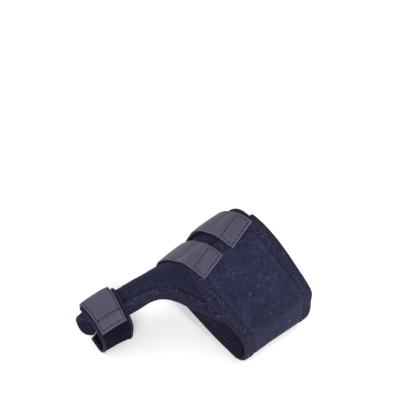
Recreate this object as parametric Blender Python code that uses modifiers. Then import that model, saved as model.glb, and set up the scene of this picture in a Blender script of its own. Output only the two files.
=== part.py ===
"""Bunion corrector for a left foot, in the form it has when worn.

A die-cut panel of soft cloth wraps the middle of the foot and sends an arm forward along the big
toe. Folded tape binds its edges, two straps close it over the instep, and a loop with a strap of
its own holds the toe against the arm.

Every sheet is draped on the form of a foot. A place on that form has three coordinates:
    along: distance from the heel towards the toes
    girth: distance round the section from its crest, positive towards the inner side of the foot
    lift:  height above the form
Metres, +Z up. The toes point to -Y and the outer side of the foot to +X.
"""

from collections import namedtuple

import bmesh
import bpy
import numpy as np

# The foot that the splint is made for
FOOT_LENGTH = 0.240
FOOT_WIDTH = 0.088
INSTEP_HEIGHT = 0.080
TOE_WIDTH = 0.0265
TOE_TAPER = 0.22
TOE_PARTING_START = 0.163
TOE_PARTING_END = 0.195

# The panel: a wide band and the arm that leaves its front edge
PANEL_THICKNESS = 0.0020
BAND_WIDTH = 0.060
BAND_OVERLAP = 0.046
BAND_END_FROM_CREST = 0.003
ARM_TIP = 0.2255
ARM_TOP_GIRTH = -0.008
ARM_WIDTH = 0.0375
ARM_NOSE_UPPER = 0.026
ARM_NOSE_LOWER = 0.009
POCKET_GIRTH = 0.0090
POCKET_WIDTH = 0.020
POCKET_RISE = 0.0022
POCKET_START = 0.148
POCKET_FADE = 0.018

# The tape folded over the panel's edges
TAPE_THICKNESS = 0.0004
TAPE_WIDTH = 0.006
EDGE_EASE = 0.004
FOLD_HEIGHT = 0.7

# The two instep straps
STRAP_THICKNESS = 0.0013
STRAP_WIDTH = 0.0195
STRAP_LENGTH = 0.069
STRAP_SLOPE = 0.27
STRAP_DROP = 0.010
ARCH_RISE = 0.0036
ARCH_GIRTH = 0.012
ARCH_REACH = 0.024
ARCH_AT_REAR_EDGE = 0.4

# The toe loop with its own tape, and the toe strap
LOOP_THICKNESS = 0.0010
LOOP_FRONT = 0.2205
LOOP_WIDTH = 0.0255
LOOP_BEFORE_FOLD = 0.002
LOOP_TAPE_WIDTH = 0.0014
TOE_STRAP_THICKNESS = 0.0012
TOE_STRAP_END_GIRTH = 0.0100
TOE_STRAP_TAIL = 0.015
FOLD_GIRTH = 0.0108
FOLD_RISE = 0.0016
FOLD_REACH = 0.006
LOOP_CLIMB = 0.016

# Clearances: sewn pieces, cloth inside a folded tape, layers that slide, and the layer next to the skin
SEAM_GAP = 0.0003
TAPE_GAP = 0.0005
LAYER_GAP = 0.0005
SKIN_GAP = 0.0002

# Mesh density: cells round and across the band, along the arm, and along the straps
BAND_CELLS = 42
MIDDLE_CELLS = 5
ARM_CELLS_ROUND = 16
ROOT_CELLS = 10
FORE_CELLS = 14
STRAP_CELLS = 16
STRAP_CELLS_ACROSS = 4
LOOP_CELLS = 32
LOOP_CELLS_ACROSS = 5
FOLD_CELLS = 9
TAIL_CELLS = 5
RING_POINTS = 240
# Half the step over which slopes of the form are measured
PROBE = 0.0006

# Sections of the foot. along is a share of FOOT_LENGTH; medial, lateral and crest are places across
# the foot as shares of FOOT_WIDTH; crest_up, side_up and arch_up are heights as shares of INSTEP_HEIGHT.
Station = namedtuple("Station", "along medial lateral crest crest_up side_up arch_up")
STATIONS = [
    Station(0.229, -0.41, 0.43, -0.11, 1.03, 0.41, 0.16),
    Station(0.333, -0.43, 0.44, -0.14, 0.95, 0.40, 0.18),
    Station(0.417, -0.46, 0.45, -0.16, 0.885, 0.39, 0.18),
    Station(0.500, -0.48, 0.46, -0.17, 0.76, 0.36, 0.15),
    Station(0.583, -0.475, 0.48, -0.18, 0.64, 0.33, 0.10),
    Station(0.667, -0.460, 0.50, -0.20, 0.54, 0.29, 0.05),
    Station(0.750, -0.475, 0.49, -0.26, 0.45, 0.25, 0.02),
    Station(0.833, -0.495, 0.40, -0.34, 0.335, 0.18, 0.00),
    Station(0.917, -0.475, 0.30, -0.35, 0.28, 0.15, 0.00),
    Station(1.000, -0.45, 0.20, -0.35, 0.20, 0.12, 0.02),
]

# Outline of one section, in order from the crest over the outer side and the sole to the inner side.
# side is +1 on the outer half and -1 on the inner half; out is the share of the way from the crest to
# that side; the other columns say how much of crest_up, side_up and arch_up make up the height.
Knot = namedtuple("Knot", "side out of_crest of_side of_arch")
FOOT_OUTLINE = [
    Knot(+1, 0.00, 1.00, 0.00, 0.00),
    Knot(+1, 0.45, 0.87, 0.00, 0.00),
    Knot(+1, 0.82, 0.55, 0.00, 0.00),
    Knot(+1, 1.00, 0.00, 0.45, 0.00),
    Knot(+1, 0.86, 0.00, 0.00, 0.00),
    Knot(+1, 0.45, 0.00, 0.00, 0.00),
    Knot(+1, 0.00, 0.00, 0.00, 0.25),
    Knot(-1, 0.62, 0.00, 0.00, 1.00),
    Knot(-1, 1.00, 0.00, 1.00, 0.00),
    Knot(-1, 0.70, 0.84, 0.00, 0.00),
]
TOE_OUTLINE = [
    Knot(+1, 0.00, 1.00, 0.00, 0.00),
    Knot(+1, 0.55, 0.91, 0.00, 0.00),
    Knot(+1, 0.89, 0.68, 0.00, 0.00),
    Knot(+1, 0.97, 0.00, 0.55, 0.00),
    Knot(+1, 0.66, 0.05, 0.00, 0.00),
    Knot(+1, 0.25, 0.00, 0.00, 0.00),
    Knot(+1, 0.00, 0.00, 0.00, 0.25),
    Knot(-1, 0.62, 0.02, 0.00, 1.00),
    Knot(-1, 1.00, 0.00, 1.00, 0.00),
    Knot(-1, 0.70, 0.84, 0.00, 0.00),
]

# Edges of the band. round is the share of the way from its hidden beginning to its upper end;
# rear is the rear edge as a share of FOOT_LENGTH and wide the width as a share of BAND_WIDTH.
BandEdge = namedtuple("BandEdge", "round rear wide")
BAND_EDGES = [
    BandEdge(0.00, 0.408, 0.84),
    BandEdge(0.17, 0.417, 0.83),
    BandEdge(0.33, 0.413, 0.84),
    BandEdge(0.50, 0.385, 0.92),
    BandEdge(0.65, 0.360, 0.97),
    BandEdge(0.76, 0.350, 1.00),
    BandEdge(0.83, 0.372, 0.98),
    BandEdge(0.92, 0.395, 0.95),
    BandEdge(1.00, 0.411, 0.85),
]

# How the arm narrows from its root to its straight stretch. reach is the share of the way from the
# band's front edge to the tip, narrowed the share of the narrowing that has happened there.
ArmEdge = namedtuple("ArmEdge", "reach narrowed")
ARM_EDGES = [
    ArmEdge(0.00, 0.00),
    ArmEdge(0.05, 0.13),
    ArmEdge(0.11, 0.30),
    ArmEdge(0.18, 0.50),
    ArmEdge(0.23, 0.68),
    ArmEdge(0.28, 0.83),
    ArmEdge(0.35, 0.95),
    ArmEdge(0.44, 1.00),
    ArmEdge(1.00, 1.00),
]

# Width of the toe loop on its way from the arm's lower edge (round 0) to the fold (round 1), as a share
# of LOOP_WIDTH: it is cut narrower where it passes between the toes.
LoopEdge = namedtuple("LoopEdge", "round wide")
LOOP_EDGES = [
    LoopEdge(0.0, 0.85),
    LoopEdge(0.3, 0.86),
    LoopEdge(0.6, 0.92),
    LoopEdge(0.8, 0.97),
    LoopEdge(1.0, 1.00),
]

# Where the instep straps are sewn to the band: along is the middle of the strap's end as a share of
# FOOT_LENGTH, girth the place of that end as a share of BAND_OVERLAP on the outer side of the crest.
StrapSeat = namedtuple("StrapSeat", "along girth arch")
STRAP_SEATS = {
    "front_strap": StrapSeat(0.569, 0.31, 0.0),
    "rear_strap": StrapSeat(0.460, 0.22, 1.0),
}

# Colours (linear), roughness
Finish = namedtuple("Finish", "colour roughness")
FINISHES = {
    "loop_cloth": Finish((0.024, 0.024, 0.060, 1.0), 0.95),
    "tape": Finish((0.036, 0.032, 0.062, 1.0), 0.80),
    "strap": Finish((0.100, 0.090, 0.140, 1.0), 0.70),
    "loop_knit": Finish((0.008, 0.006, 0.018, 1.0), 0.90),
}

# Shares of the way round the band where the arm's root ends and where the band leaves the sole
ARM_ROOT_SHARE = ARM_CELLS_ROUND / BAND_CELLS
SOLE_END_SHARE = 0.82
SOLE_EASE = 0.08
# The climb over the hidden beginning: how far before it the climb starts and how long it takes, as
# shares of the way round the band, and how far past that beginning the full height is reached
CLIMB_BEFORE = 0.07
CLIMB_LENGTH = 0.055
CLIMB_MARGIN = 0.003
# Share across the arm of the point of its nose, and share along it from which its rows bend with it
NOSE_PEAK = 0.62
NOSE_FROM = 0.5

EDGE_PROUD = TAPE_GAP + TAPE_THICKNESS
PANEL_LIFT = SKIN_GAP + EDGE_PROUD + PANEL_THICKNESS / 2
LAYER_STEP = PANEL_THICKNESS + 2 * EDGE_PROUD + LAYER_GAP
STRAP_ON_PANEL = PANEL_THICKNESS / 2 + EDGE_PROUD + LAYER_GAP + STRAP_THICKNESS / 2
LOOP_LIFT = SKIN_GAP + EDGE_PROUD + LOOP_THICKNESS / 2
LOOP_ON_ARM = PANEL_LIFT + PANEL_THICKNESS / 2 + LAYER_GAP + 2 * EDGE_PROUD + LOOP_THICKNESS / 2
STRAP_ON_LOOP = LOOP_THICKNESS / 2 + SEAM_GAP + TOE_STRAP_THICKNESS / 2


def ease(share):
    """Smooth step from 0 at share 0 to 1 at share 1."""
    share = np.clip(share, 0.0, 1.0)
    return share * share * (3.0 - 2.0 * share)


def spline(knots, values, at, period=None):
    """C2 cubic spline through values at knots, closed where a period is given."""
    knots = np.asarray(knots, float)
    values = np.asarray(values, float)
    count = len(knots)
    spans = count - 1
    if period:
        knots = np.append(knots, knots[0] + period)
        values = np.vstack([values, values[:1]])
        spans = count
    width = np.diff(knots)
    step = np.diff(values, axis=0) / width[:, None]
    matrix = np.zeros((count, count))
    target = np.zeros((count, values.shape[1]))
    for i in range(count):
        if not period and i in (0, count - 1):
            matrix[i, i] = 1.0
            continue
        left = (i - 1) % spans
        matrix[i, (i - 1) % count] += width[left]
        matrix[i, i] += 2.0 * (width[left] + width[i])
        matrix[i, (i + 1) % count] += width[i]
        target[i] = 6.0 * (step[i] - step[left])
    bend = np.linalg.solve(matrix, target)
    if period:
        bend = np.vstack([bend, bend[:1]])
    at = np.asarray(at, float)
    if period:
        at = knots[0] + (at - knots[0]) % period
    span = np.clip(np.searchsorted(knots, at, side="right") - 1, 0, spans - 1)
    past = (at - knots[span])[..., None]
    left_over = (knots[span + 1] - at)[..., None]
    wide = width[span][..., None]
    cubic = (bend[span] * left_over**3 + bend[span + 1] * past**3) / (6.0 * wide)
    right_part = (values[span + 1] / wide - bend[span + 1] * wide / 6.0) * past
    left_part = (values[span] / wide - bend[span] * wide / 6.0) * left_over
    return cubic + right_part + left_part


def column(rows, name):
    """One named column of a table of rows."""
    return np.array([getattr(row, name) for row in rows], float)


def outline_knots(outline, medial, lateral, crest, crest_up, side_up, arch_up):
    """Corner points of each section: an array of sections by knots by (across, up)."""
    points = []
    for knot in outline:
        side = lateral if knot.side > 0 else medial
        across = crest + knot.out * (side - crest)
        up = knot.of_crest * crest_up + knot.of_side * side_up + knot.of_arch * arch_up
        points.append(np.stack([across, up], axis=-1))
    return np.stack(points, axis=1)


def rings(along):
    """Closed outlines of the form at each along: an array of sections by RING_POINTS + 1 by (across, up)."""
    table = np.array(STATIONS, float)
    table[:, 0] *= FOOT_LENGTH
    table[:, 1:4] *= FOOT_WIDTH
    table[:, 4:] *= INSTEP_HEIGHT
    medial, lateral, crest, crest_up, side_up, arch_up = spline(table[:, 0], table[:, 1:], along).T
    foot = outline_knots(FOOT_OUTLINE, medial, lateral, crest, crest_up, side_up, arch_up)
    parted = ease((along - TOE_PARTING_START) / (TOE_PARTING_END - TOE_PARTING_START))
    past_parting = (along - TOE_PARTING_END) / (FOOT_LENGTH - TOE_PARTING_END)
    taper = 1.0 - TOE_TAPER * np.clip(past_parting, 0.0, 1.0)
    toe_lateral = medial + TOE_WIDTH * taper
    toe = outline_knots(TOE_OUTLINE, medial, toe_lateral, crest, crest_up, side_up, arch_up)
    knots = foot + (toe - foot) * parted[:, None, None]
    turns = np.linspace(0.0, 1.0, RING_POINTS + 1)
    places = np.arange(len(FOOT_OUTLINE)) / len(FOOT_OUTLINE)
    flat = knots.transpose(1, 0, 2).reshape(len(places), -1)
    ring = spline(places, flat, turns % 1.0, period=1.0)
    ring = ring.reshape(RING_POINTS + 1, len(along), 2).transpose(1, 0, 2)
    ring[..., 1] = np.maximum(ring[..., 1], 0.0)
    return ring


def ring_lengths(ring):
    """Distance round each ring from its crest, at each of its points."""
    steps = np.linalg.norm(np.diff(ring, axis=1), axis=2)
    return np.concatenate([np.zeros((len(ring), 1)), np.cumsum(steps, axis=1)], axis=1)


def perimeter(along):
    """Length of the whole section at each along."""
    along = np.asarray(along, float)
    return ring_lengths(rings(along.ravel()))[:, -1].reshape(along.shape)


def form_point(along, girth):
    """Points of the bare form."""
    ring = rings(along)
    length = ring_lengths(ring)
    points = np.empty((len(along), 3))
    points[:, 1] = -along
    for i, back in enumerate((-girth) % length[:, -1]):
        points[i, 0] = np.interp(back, length[i], ring[i, :, 0])
        points[i, 2] = np.interp(back, length[i], ring[i, :, 1])
    return points


def draped(along, girth, lift):
    """Points at a lift above the form, measured square to it."""
    along, girth, lift = np.broadcast_arrays(along, girth, lift)
    shape = along.shape
    along, girth, lift = (np.ravel(a).astype(float) for a in (along, girth, lift))
    round_step = form_point(along, girth + PROBE) - form_point(along, girth - PROBE)
    along_step = form_point(along + PROBE, girth) - form_point(along - PROBE, girth)
    normal = np.cross(round_step, along_step)
    normal /= np.linalg.norm(normal, axis=1)[:, None]
    points = form_point(along, girth) + normal * lift[:, None]
    return points.reshape(shape + (3,))


def band_girth(share, along):
    """Girth of the band at a share of the way round, from its hidden beginning to its upper end."""
    turn = perimeter(along) + BAND_OVERLAP - BAND_END_FROM_CREST
    return share * turn - BAND_OVERLAP


def band_edges(share):
    """Rear and front edge of the band at a share of the way round."""
    rows = column(BAND_EDGES, "round")
    table = np.stack([column(BAND_EDGES, "rear"), column(BAND_EDGES, "wide")], axis=1)
    rear, wide = spline(rows, table, share).T
    rear = rear * FOOT_LENGTH
    return rear, rear + wide * BAND_WIDTH


def on_sole(share):
    """1 where the band lies under the sole, 0 on top of the foot and along the arm's root."""
    turned = (share - ARM_ROOT_SHARE) / SOLE_EASE
    turned_back = (SOLE_END_SHARE - share) / SOLE_EASE
    return ease(turned) * ease(turned_back)


def band_lift(share, inset):
    """Lift of the band's middle surface at a distance inset from its nearest bound edge.

    Over the hidden beginning it climbs one layer. Under the sole its edges step in by the tape's
    height, so that the tape and the panel stand on one plane.
    """
    length = perimeter(np.array([BAND_EDGES[0].rear * FOOT_LENGTH]))[0]
    begin_of_overlap = 1.0 - (BAND_OVERLAP + CLIMB_MARGIN) / length
    climb = ease((share - begin_of_overlap + CLIMB_BEFORE) / CLIMB_LENGTH)
    step_in = 1.0 - ease((inset - TAPE_WIDTH - TAPE_GAP) / EDGE_EASE)
    return PANEL_LIFT + climb * LAYER_STEP - step_in * on_sole(share) * EDGE_PROUD


def band_place(share, across):
    """Along, girth and lift of the band at a share round and a share across."""
    rear, front = band_edges(share)
    along = rear + across * (front - rear)
    inset = np.minimum(along - rear, front - along)
    return along, band_girth(share, along), band_lift(share, inset)


def arm_lines():
    """Shares along the arm from its root to its tip, closer where it narrows."""
    narrow = ARM_EDGES[-2].reach
    return np.concatenate([
        np.linspace(0.0, narrow, ROOT_CELLS + 1),
        np.linspace(narrow, 1.0, FORE_CELLS + 1)[1:],
    ])


def round_off(share):
    """How far a quarter of an ellipse falls back, from 0 at share 0 or less to 1 at share 1."""
    share = np.clip(share, 0.0, 1.0)
    return 1.0 - np.sqrt(1.0 - share * share)


def pocket_lift(along, girth):
    """Raised pocket along the arm: one round ridge that fades in past the band."""
    across = np.clip((girth - POCKET_GIRTH) / (POCKET_WIDTH / 2), -1.0, 1.0)
    ridge = np.cos(across * np.pi / 2) ** 2
    begins = ease((along - POCKET_START) / POCKET_FADE)
    return POCKET_RISE * ridge * begins


def arm_place(reach, across):
    """Along, girth and lift of the arm, from its root (reach 0) to its tip (reach 1)."""
    share = across * ARM_ROOT_SHARE
    front = band_edges(share)[1]
    upper = ARM_NOSE_UPPER * round_off((NOSE_PEAK - across) / NOSE_PEAK)
    lower = ARM_NOSE_LOWER * round_off((across - NOSE_PEAK) / (1.0 - NOSE_PEAK))
    nose = upper + lower
    rounded = np.clip((reach - NOSE_FROM) / (1.0 - NOSE_FROM), 0.0, 1.0)
    along = front + reach * (ARM_TIP - front) - rounded * nose
    corners = np.array([0.0, ARM_ROOT_SHARE])
    root_top, root_bottom = band_girth(corners, band_edges(corners)[1])
    narrowed = np.interp(reach, column(ARM_EDGES, "reach"), column(ARM_EDGES, "narrowed"))
    top_shift = (ARM_TOP_GIRTH - root_top) * narrowed
    bottom_shift = (ARM_TOP_GIRTH + ARM_WIDTH - root_bottom) * narrowed
    girth = band_girth(share, front) + top_shift * (1.0 - across) + bottom_shift * across
    lift = PANEL_LIFT + pocket_lift(along, girth)
    return along, girth, lift


def material(name):
    """Plain material of a finish."""
    finish = FINISHES[name]
    made = bpy.data.materials.get(name) or bpy.data.materials.new(name)
    made.use_nodes = True
    shader = made.node_tree.nodes["Principled BSDF"]
    shader.inputs["Base Color"].default_value = finish.colour
    shader.inputs["Roughness"].default_value = finish.roughness
    shader.inputs["Metallic"].default_value = 0.0
    return made


def add_patch(mesh, cells, place):
    """Adds a grid of cells[0] by cells[1] quads, moved to where place puts its two shares."""
    grid = bmesh.ops.create_grid(mesh, x_segments=cells[0], y_segments=cells[1], size=1.0)
    corners = np.array([vert.co[:2] for vert in grid["verts"]])
    first, second = (corners.T + 1.0) / 2.0
    points = draped(*place(first, second))
    for vert, point in zip(grid["verts"], points):
        vert.co = point


def make_sheet(name, finish, thickness, patches):
    """A closed sheet: patches of (cells, place) joined where they meet, thickened both ways."""
    mesh = bmesh.new()
    for cells, place in patches:
        add_patch(mesh, cells, place)
    bmesh.ops.remove_doubles(mesh, verts=mesh.verts, dist=1e-5)
    bmesh.ops.recalc_face_normals(mesh, faces=mesh.faces)
    data = bpy.data.meshes.new(name)
    mesh.to_mesh(data)
    mesh.free()
    data.materials.append(material(finish))
    data.shade_smooth()
    sheet = bpy.data.objects.new(name, data)
    solid = sheet.modifiers.new("thickness", "SOLIDIFY")
    solid.thickness = thickness
    solid.offset = 0.0
    solid.use_even_offset = False
    collection = bpy.data.collections["bunion_corrector"]
    collection.objects.link(sheet)
    return sheet


def band_lines():
    """Shares across the band: its edges, the end of the tape's step and even lines between."""
    width = BAND_WIDTH * BAND_EDGES[0].wide
    step = TAPE_WIDTH + TAPE_GAP
    near = np.array([0.0, step, step + EDGE_EASE]) / width
    middle = np.linspace(near[-1], 1.0 - near[-1], MIDDLE_CELLS + 1)
    return np.concatenate([near[:-1], middle, 1.0 - near[-2::-1]])


def make_panel():
    """The band and the arm as one sheet."""
    lines = band_lines()
    last = len(lines) - 1

    def band(share, across):
        return band_place(share, np.interp(across * last, np.arange(last + 1), lines))

    def arm(across, reach):
        rows = arm_lines()
        return arm_place(rows[np.rint(reach * (len(rows) - 1)).astype(int)], across)

    patches = [((BAND_CELLS, last), band), ((ARM_CELLS_ROUND, ROOT_CELLS + FORE_CELLS), arm)]
    make_sheet("wrap_panel", "loop_cloth", PANEL_THICKNESS, patches)


def tape_profile(width, sheet_thickness):
    """Section of a folded tape: (inset from the edge, rise above the sheet's middle) from leg to leg."""
    rise = sheet_thickness / 2 + TAPE_GAP + TAPE_THICKNESS / 2
    out = TAPE_GAP + TAPE_THICKNESS / 2
    leg = [(width, rise), (width / 2, rise), (0.0, rise), (-out, FOLD_HEIGHT * rise)]
    return np.array(leg + [(inset, -up) for inset, up in reversed(leg)])


def make_tape(name, width, sheet_thickness, steps, spot):
    """Tape folded over an edge of steps cells. spot(i, inset) gives the along, girth and lift of the
    sheet's middle at an inset from the edge's point i."""
    profile = tape_profile(width, sheet_thickness)
    last = len(profile) - 1

    def place(share, across):
        inset, rise = profile[np.rint(across * last).astype(int)].T
        along, girth, lift = spot(np.rint(share * steps).astype(int), inset)
        return along, girth, lift + rise

    make_sheet(name, "tape", TAPE_THICKNESS, [((steps, last), place)])


def band_edge_spot(share, across, i, inset):
    """Place of the band at an inset from its rear (across 0) or front (across 1) edge."""
    edge = band_place(share[i], across)[0]
    along = edge + np.where(across > 0.5, -inset, inset)
    return along, band_girth(share[i], along), band_lift(share[i], 0.0)


def turned_inward(edge):
    """Steps in (along, girth) that go square off an edge, to its left, by one unit on the surface."""
    forward, sideways = np.gradient(edge, axis=0).T
    along, girth = edge.T
    by_along = draped(along + PROBE, girth, PANEL_LIFT) - draped(along - PROBE, girth, PANEL_LIFT)
    by_girth = draped(along, girth + PROBE, PANEL_LIFT) - draped(along, girth - PROBE, PANEL_LIFT)
    by_along /= 2 * PROBE
    by_girth /= 2 * PROBE
    stretch_along = (by_along * by_along).sum(axis=1)
    stretch_girth = (by_girth * by_girth).sum(axis=1)
    shear = (by_along * by_girth).sum(axis=1)
    left_along = -(forward * shear + sideways * stretch_girth)
    left_girth = forward * stretch_along + sideways * shear
    length = np.linalg.norm(by_along * left_along[:, None] + by_girth * left_girth[:, None], axis=1)
    return np.stack([left_along / length, left_girth / length], axis=1)


def make_front_binding():
    """Tape along the arm's upper edge, its tip, its lower edge and the band's front edge."""
    reach = arm_lines()
    across = np.linspace(0.0, 1.0, ARM_CELLS_ROUND + 1)
    share = np.linspace(ARM_ROOT_SHARE, 1.0, BAND_CELLS - ARM_CELLS_ROUND + 1)
    upper = np.stack(arm_place(reach, 0.0 * reach)[:2], axis=1)
    tip = np.stack(arm_place(0.0 * across + 1.0, across)[:2], axis=1)
    lower = np.stack(arm_place(reach[::-1], 0.0 * reach + 1.0)[:2], axis=1)
    front = np.stack(band_place(share, 0.0 * share + 1.0)[:2], axis=1)
    edge = np.vstack([upper[:-1], tip[:-1], lower[:-1], front])
    arm_steps = len(edge) - len(front)
    inward = turned_inward(edge)

    def spot(i, inset):
        place = edge[i] + inward[i] * inset[:, None]
        on_arm = PANEL_LIFT + pocket_lift(place[:, 0], place[:, 1])
        arm = np.stack([place[:, 0], place[:, 1], on_arm])
        band = np.stack(band_edge_spot(share, 1.0, np.maximum(i - arm_steps, 0), inset))
        return np.where(i <= arm_steps, arm, band)

    make_tape("front_binding", TAPE_WIDTH, PANEL_THICKNESS, len(edge) - 1, spot)


def make_rear_binding():
    """Tape along the band's rear edge, all the way round."""
    share = np.linspace(0.0, 1.0, BAND_CELLS + 1)

    def spot(i, inset):
        return band_edge_spot(share, 0.0, i, inset)

    make_tape("rear_binding", TAPE_WIDTH, PANEL_THICKNESS, BAND_CELLS, spot)


def make_end_binding():
    """Tape along the band's upper end, between the two long tapes."""
    lines = band_lines()[1:-1]
    along, girth, lift = band_place(0.0 * lines + 1.0, lines)
    side_gap = TAPE_GAP / 2
    along[0] += side_gap
    along[-1] -= side_gap

    def spot(i, inset):
        return along[i], girth[i] - inset, lift[i]

    make_tape("end_binding", TAPE_WIDTH, PANEL_THICKNESS, len(lines) - 1, spot)


def make_strap(name, seat):
    """Instep strap: its sewn end lies on the band's upper end, the rest bridges to the panel's inner side."""
    start = -seat.girth * BAND_OVERLAP
    tilt = np.arctan(STRAP_SLOPE)
    drop_from = -BAND_END_FROM_CREST + EDGE_PROUD

    def place(share, across):
        run = share * STRAP_LENGTH
        aside = (across - 0.5) * STRAP_WIDTH
        girth = start + run * np.cos(tilt) - aside * np.sin(tilt)
        along = seat.along * FOOT_LENGTH + run * np.sin(tilt) + aside * np.cos(tilt)
        drop = LAYER_STEP * ease((girth - drop_from) / STRAP_DROP)
        from_top = np.clip((girth - ARCH_GIRTH) / ARCH_REACH, -1.0, 1.0)
        arch = ARCH_RISE * np.cos(from_top * np.pi / 2) ** 2
        arch *= ARCH_AT_REAR_EDGE + (1.0 - ARCH_AT_REAR_EDGE) * ease(across)
        lift = PANEL_LIFT + LAYER_STEP + STRAP_ON_PANEL - drop + seat.arch * arch
        return along, girth, lift

    make_sheet(name, "strap", STRAP_THICKNESS, [((STRAP_CELLS, STRAP_CELLS_ACROSS), place)])


def loop_lift(along, past_crest):
    """Lift of the toe loop's middle surface: it climbs over the arm's upper edge and its pocket.

    past_crest is the girth measured from the crest after the loop has gone round the toe. The fold
    of the strap above it stands off the arm.
    """
    climb = ease((past_crest - ARM_TOP_GIRTH + EDGE_PROUD + LOOP_CLIMB) / LOOP_CLIMB)
    fold = np.clip(1.0 - np.abs(past_crest - FOLD_GIRTH) / FOLD_REACH, 0.0, 1.0)
    over_arm = LOOP_ON_ARM - LOOP_LIFT + pocket_lift(along, past_crest)
    return LOOP_LIFT + climb * over_arm + FOLD_RISE * fold


def loop_edges(share):
    """Rear and front edge of the toe loop at a share of its way."""
    wide = np.interp(share, column(LOOP_EDGES, "round"), column(LOOP_EDGES, "wide"))
    return LOOP_FRONT - wide * LOOP_WIDTH, LOOP_FRONT + 0.0 * wide


def loop_place_at(share, along):
    """Girth and lift of the toe loop: it starts at the arm's lower edge and ends just before the fold."""
    turn = perimeter(along)
    start = ARM_TOP_GIRTH + ARM_WIDTH + EDGE_PROUD + SEAM_GAP
    end = FOLD_GIRTH - LOOP_BEFORE_FOLD
    girth = start + share * (turn + end - start)
    return along, girth, loop_lift(along, girth - turn)


def make_toe_loop():
    """The loop's cloth with a tape folded over each of its two long edges."""
    share = np.linspace(0.0, 1.0, LOOP_CELLS + 1)

    def place(shares, across):
        rear, front = loop_edges(shares)
        return loop_place_at(shares, rear + across * (front - rear))

    make_sheet("toe_loop", "loop_knit", LOOP_THICKNESS, [((LOOP_CELLS, LOOP_CELLS_ACROSS), place)])
    for side, name in enumerate(("toe_loop_rear_binding", "toe_loop_front_binding")):

        def spot(i, inset, side=side):
            edge = loop_edges(share[i])[side]
            return loop_place_at(share[i], edge + (inset if side == 0 else -inset))

        make_tape(name, LOOP_TAPE_WIDTH, LOOP_THICKNESS, LOOP_CELLS, spot)


def make_toe_strap():
    """Strap over the toe loop, between its two tapes, from the outer shoulder of the toe to the fold
    and down the inner side of the arm."""
    inset = LOOP_TAPE_WIDTH + SEAM_GAP
    start = -TOE_STRAP_END_GIRTH
    loop_start = ARM_TOP_GIRTH + ARM_WIDTH + EDGE_PROUD + SEAM_GAP
    lines = np.concatenate([
        np.linspace(start, FOLD_GIRTH, FOLD_CELLS + 1),
        np.linspace(FOLD_GIRTH, FOLD_GIRTH + TOE_STRAP_TAIL, TAIL_CELLS + 1)[1:],
    ])

    def place(share, across):
        past_crest = lines[np.rint(share * (len(lines) - 1)).astype(int)]
        turn = perimeter(0.0 * share + LOOP_FRONT)
        way = (turn + past_crest - loop_start) / (turn + FOLD_GIRTH - loop_start)
        rear, front = loop_edges(way)
        along = rear + inset + across * (front - rear - 2 * inset)
        return along, past_crest, loop_lift(along, past_crest) + STRAP_ON_LOOP

    cells = (len(lines) - 1, STRAP_CELLS_ACROSS)
    make_sheet("toe_strap", "strap", TOE_STRAP_THICKNESS, [(cells, place)])


def stand_at_origin(pieces):
    """Moves the pieces so that the middle of their footprint is the origin and the sole stands on z = 0."""
    bpy.context.view_layer.update()
    depsgraph = bpy.context.evaluated_depsgraph_get()
    corners = []
    for piece in pieces:
        shaped = piece.evaluated_get(depsgraph)
        corners += [vert.co.copy() for vert in shaped.to_mesh().vertices]
        shaped.to_mesh_clear()
    corners = np.array(corners)
    low, high = corners.min(axis=0), corners.max(axis=0)
    for piece in pieces:
        piece.location = (-(low[0] + high[0]) / 2, -(low[1] + high[1]) / 2, -low[2])


def main():
    for old in list(bpy.data.objects):
        bpy.data.objects.remove(old)
    collection = bpy.data.collections.new("bunion_corrector")
    bpy.context.scene.collection.children.link(collection)
    make_panel()
    make_front_binding()
    make_rear_binding()
    make_end_binding()
    for name, seat in STRAP_SEATS.items():
        make_strap(name, seat)
    make_toe_loop()
    make_toe_strap()
    stand_at_origin(list(collection.objects))


main()
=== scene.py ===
"""Bunion corrector for a left foot: the cloth, tape, straps and thread around its packed solids.

Every sheet is draped on the form of a foot. A place on that form has three coordinates:
    along: distance from the heel towards the toes
    girth: distance round the section from its crest, positive towards the inner side of the foot
    lift:  height above the form
Metres, +Z up. The toes point to -Y and the outer side of the foot to +X.
"""

import math
from collections import namedtuple

import bmesh
import bpy
import numpy as np
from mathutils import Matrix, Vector


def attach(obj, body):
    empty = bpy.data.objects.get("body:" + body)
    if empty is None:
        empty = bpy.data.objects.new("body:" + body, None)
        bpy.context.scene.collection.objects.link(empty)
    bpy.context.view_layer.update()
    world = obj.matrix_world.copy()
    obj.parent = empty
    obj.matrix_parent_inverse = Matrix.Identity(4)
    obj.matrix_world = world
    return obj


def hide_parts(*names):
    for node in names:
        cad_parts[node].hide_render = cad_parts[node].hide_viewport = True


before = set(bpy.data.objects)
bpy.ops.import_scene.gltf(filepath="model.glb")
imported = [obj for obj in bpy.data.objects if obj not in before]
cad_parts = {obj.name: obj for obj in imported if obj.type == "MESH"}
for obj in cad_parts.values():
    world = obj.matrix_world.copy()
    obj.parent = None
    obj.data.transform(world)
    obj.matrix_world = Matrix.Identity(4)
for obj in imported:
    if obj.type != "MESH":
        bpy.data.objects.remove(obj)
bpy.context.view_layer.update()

bl_info = {
    "name": "Bunion corrector",
    "version": (1, 0, 0),
    "blender": (4, 5, 0),
    "location": "3D View > Sidebar > Splint",
    "description": "Builds the cloth, tape, straps and thread of a bunion corrector",
    "category": "Object",
}

# The foot that the splint is made for
FOOT_LENGTH = 0.240
FOOT_WIDTH = 0.088
INSTEP_HEIGHT = 0.080
TOE_WIDTH = 0.0265
TOE_TAPER = 0.22
TOE_PARTING_START = 0.163
TOE_PARTING_END = 0.195
# Where the origin of the foot's own coordinates lies in the model
FOOT_ORIGIN = np.array([0.00298028, 0.15477301, 0.00310])

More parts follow.
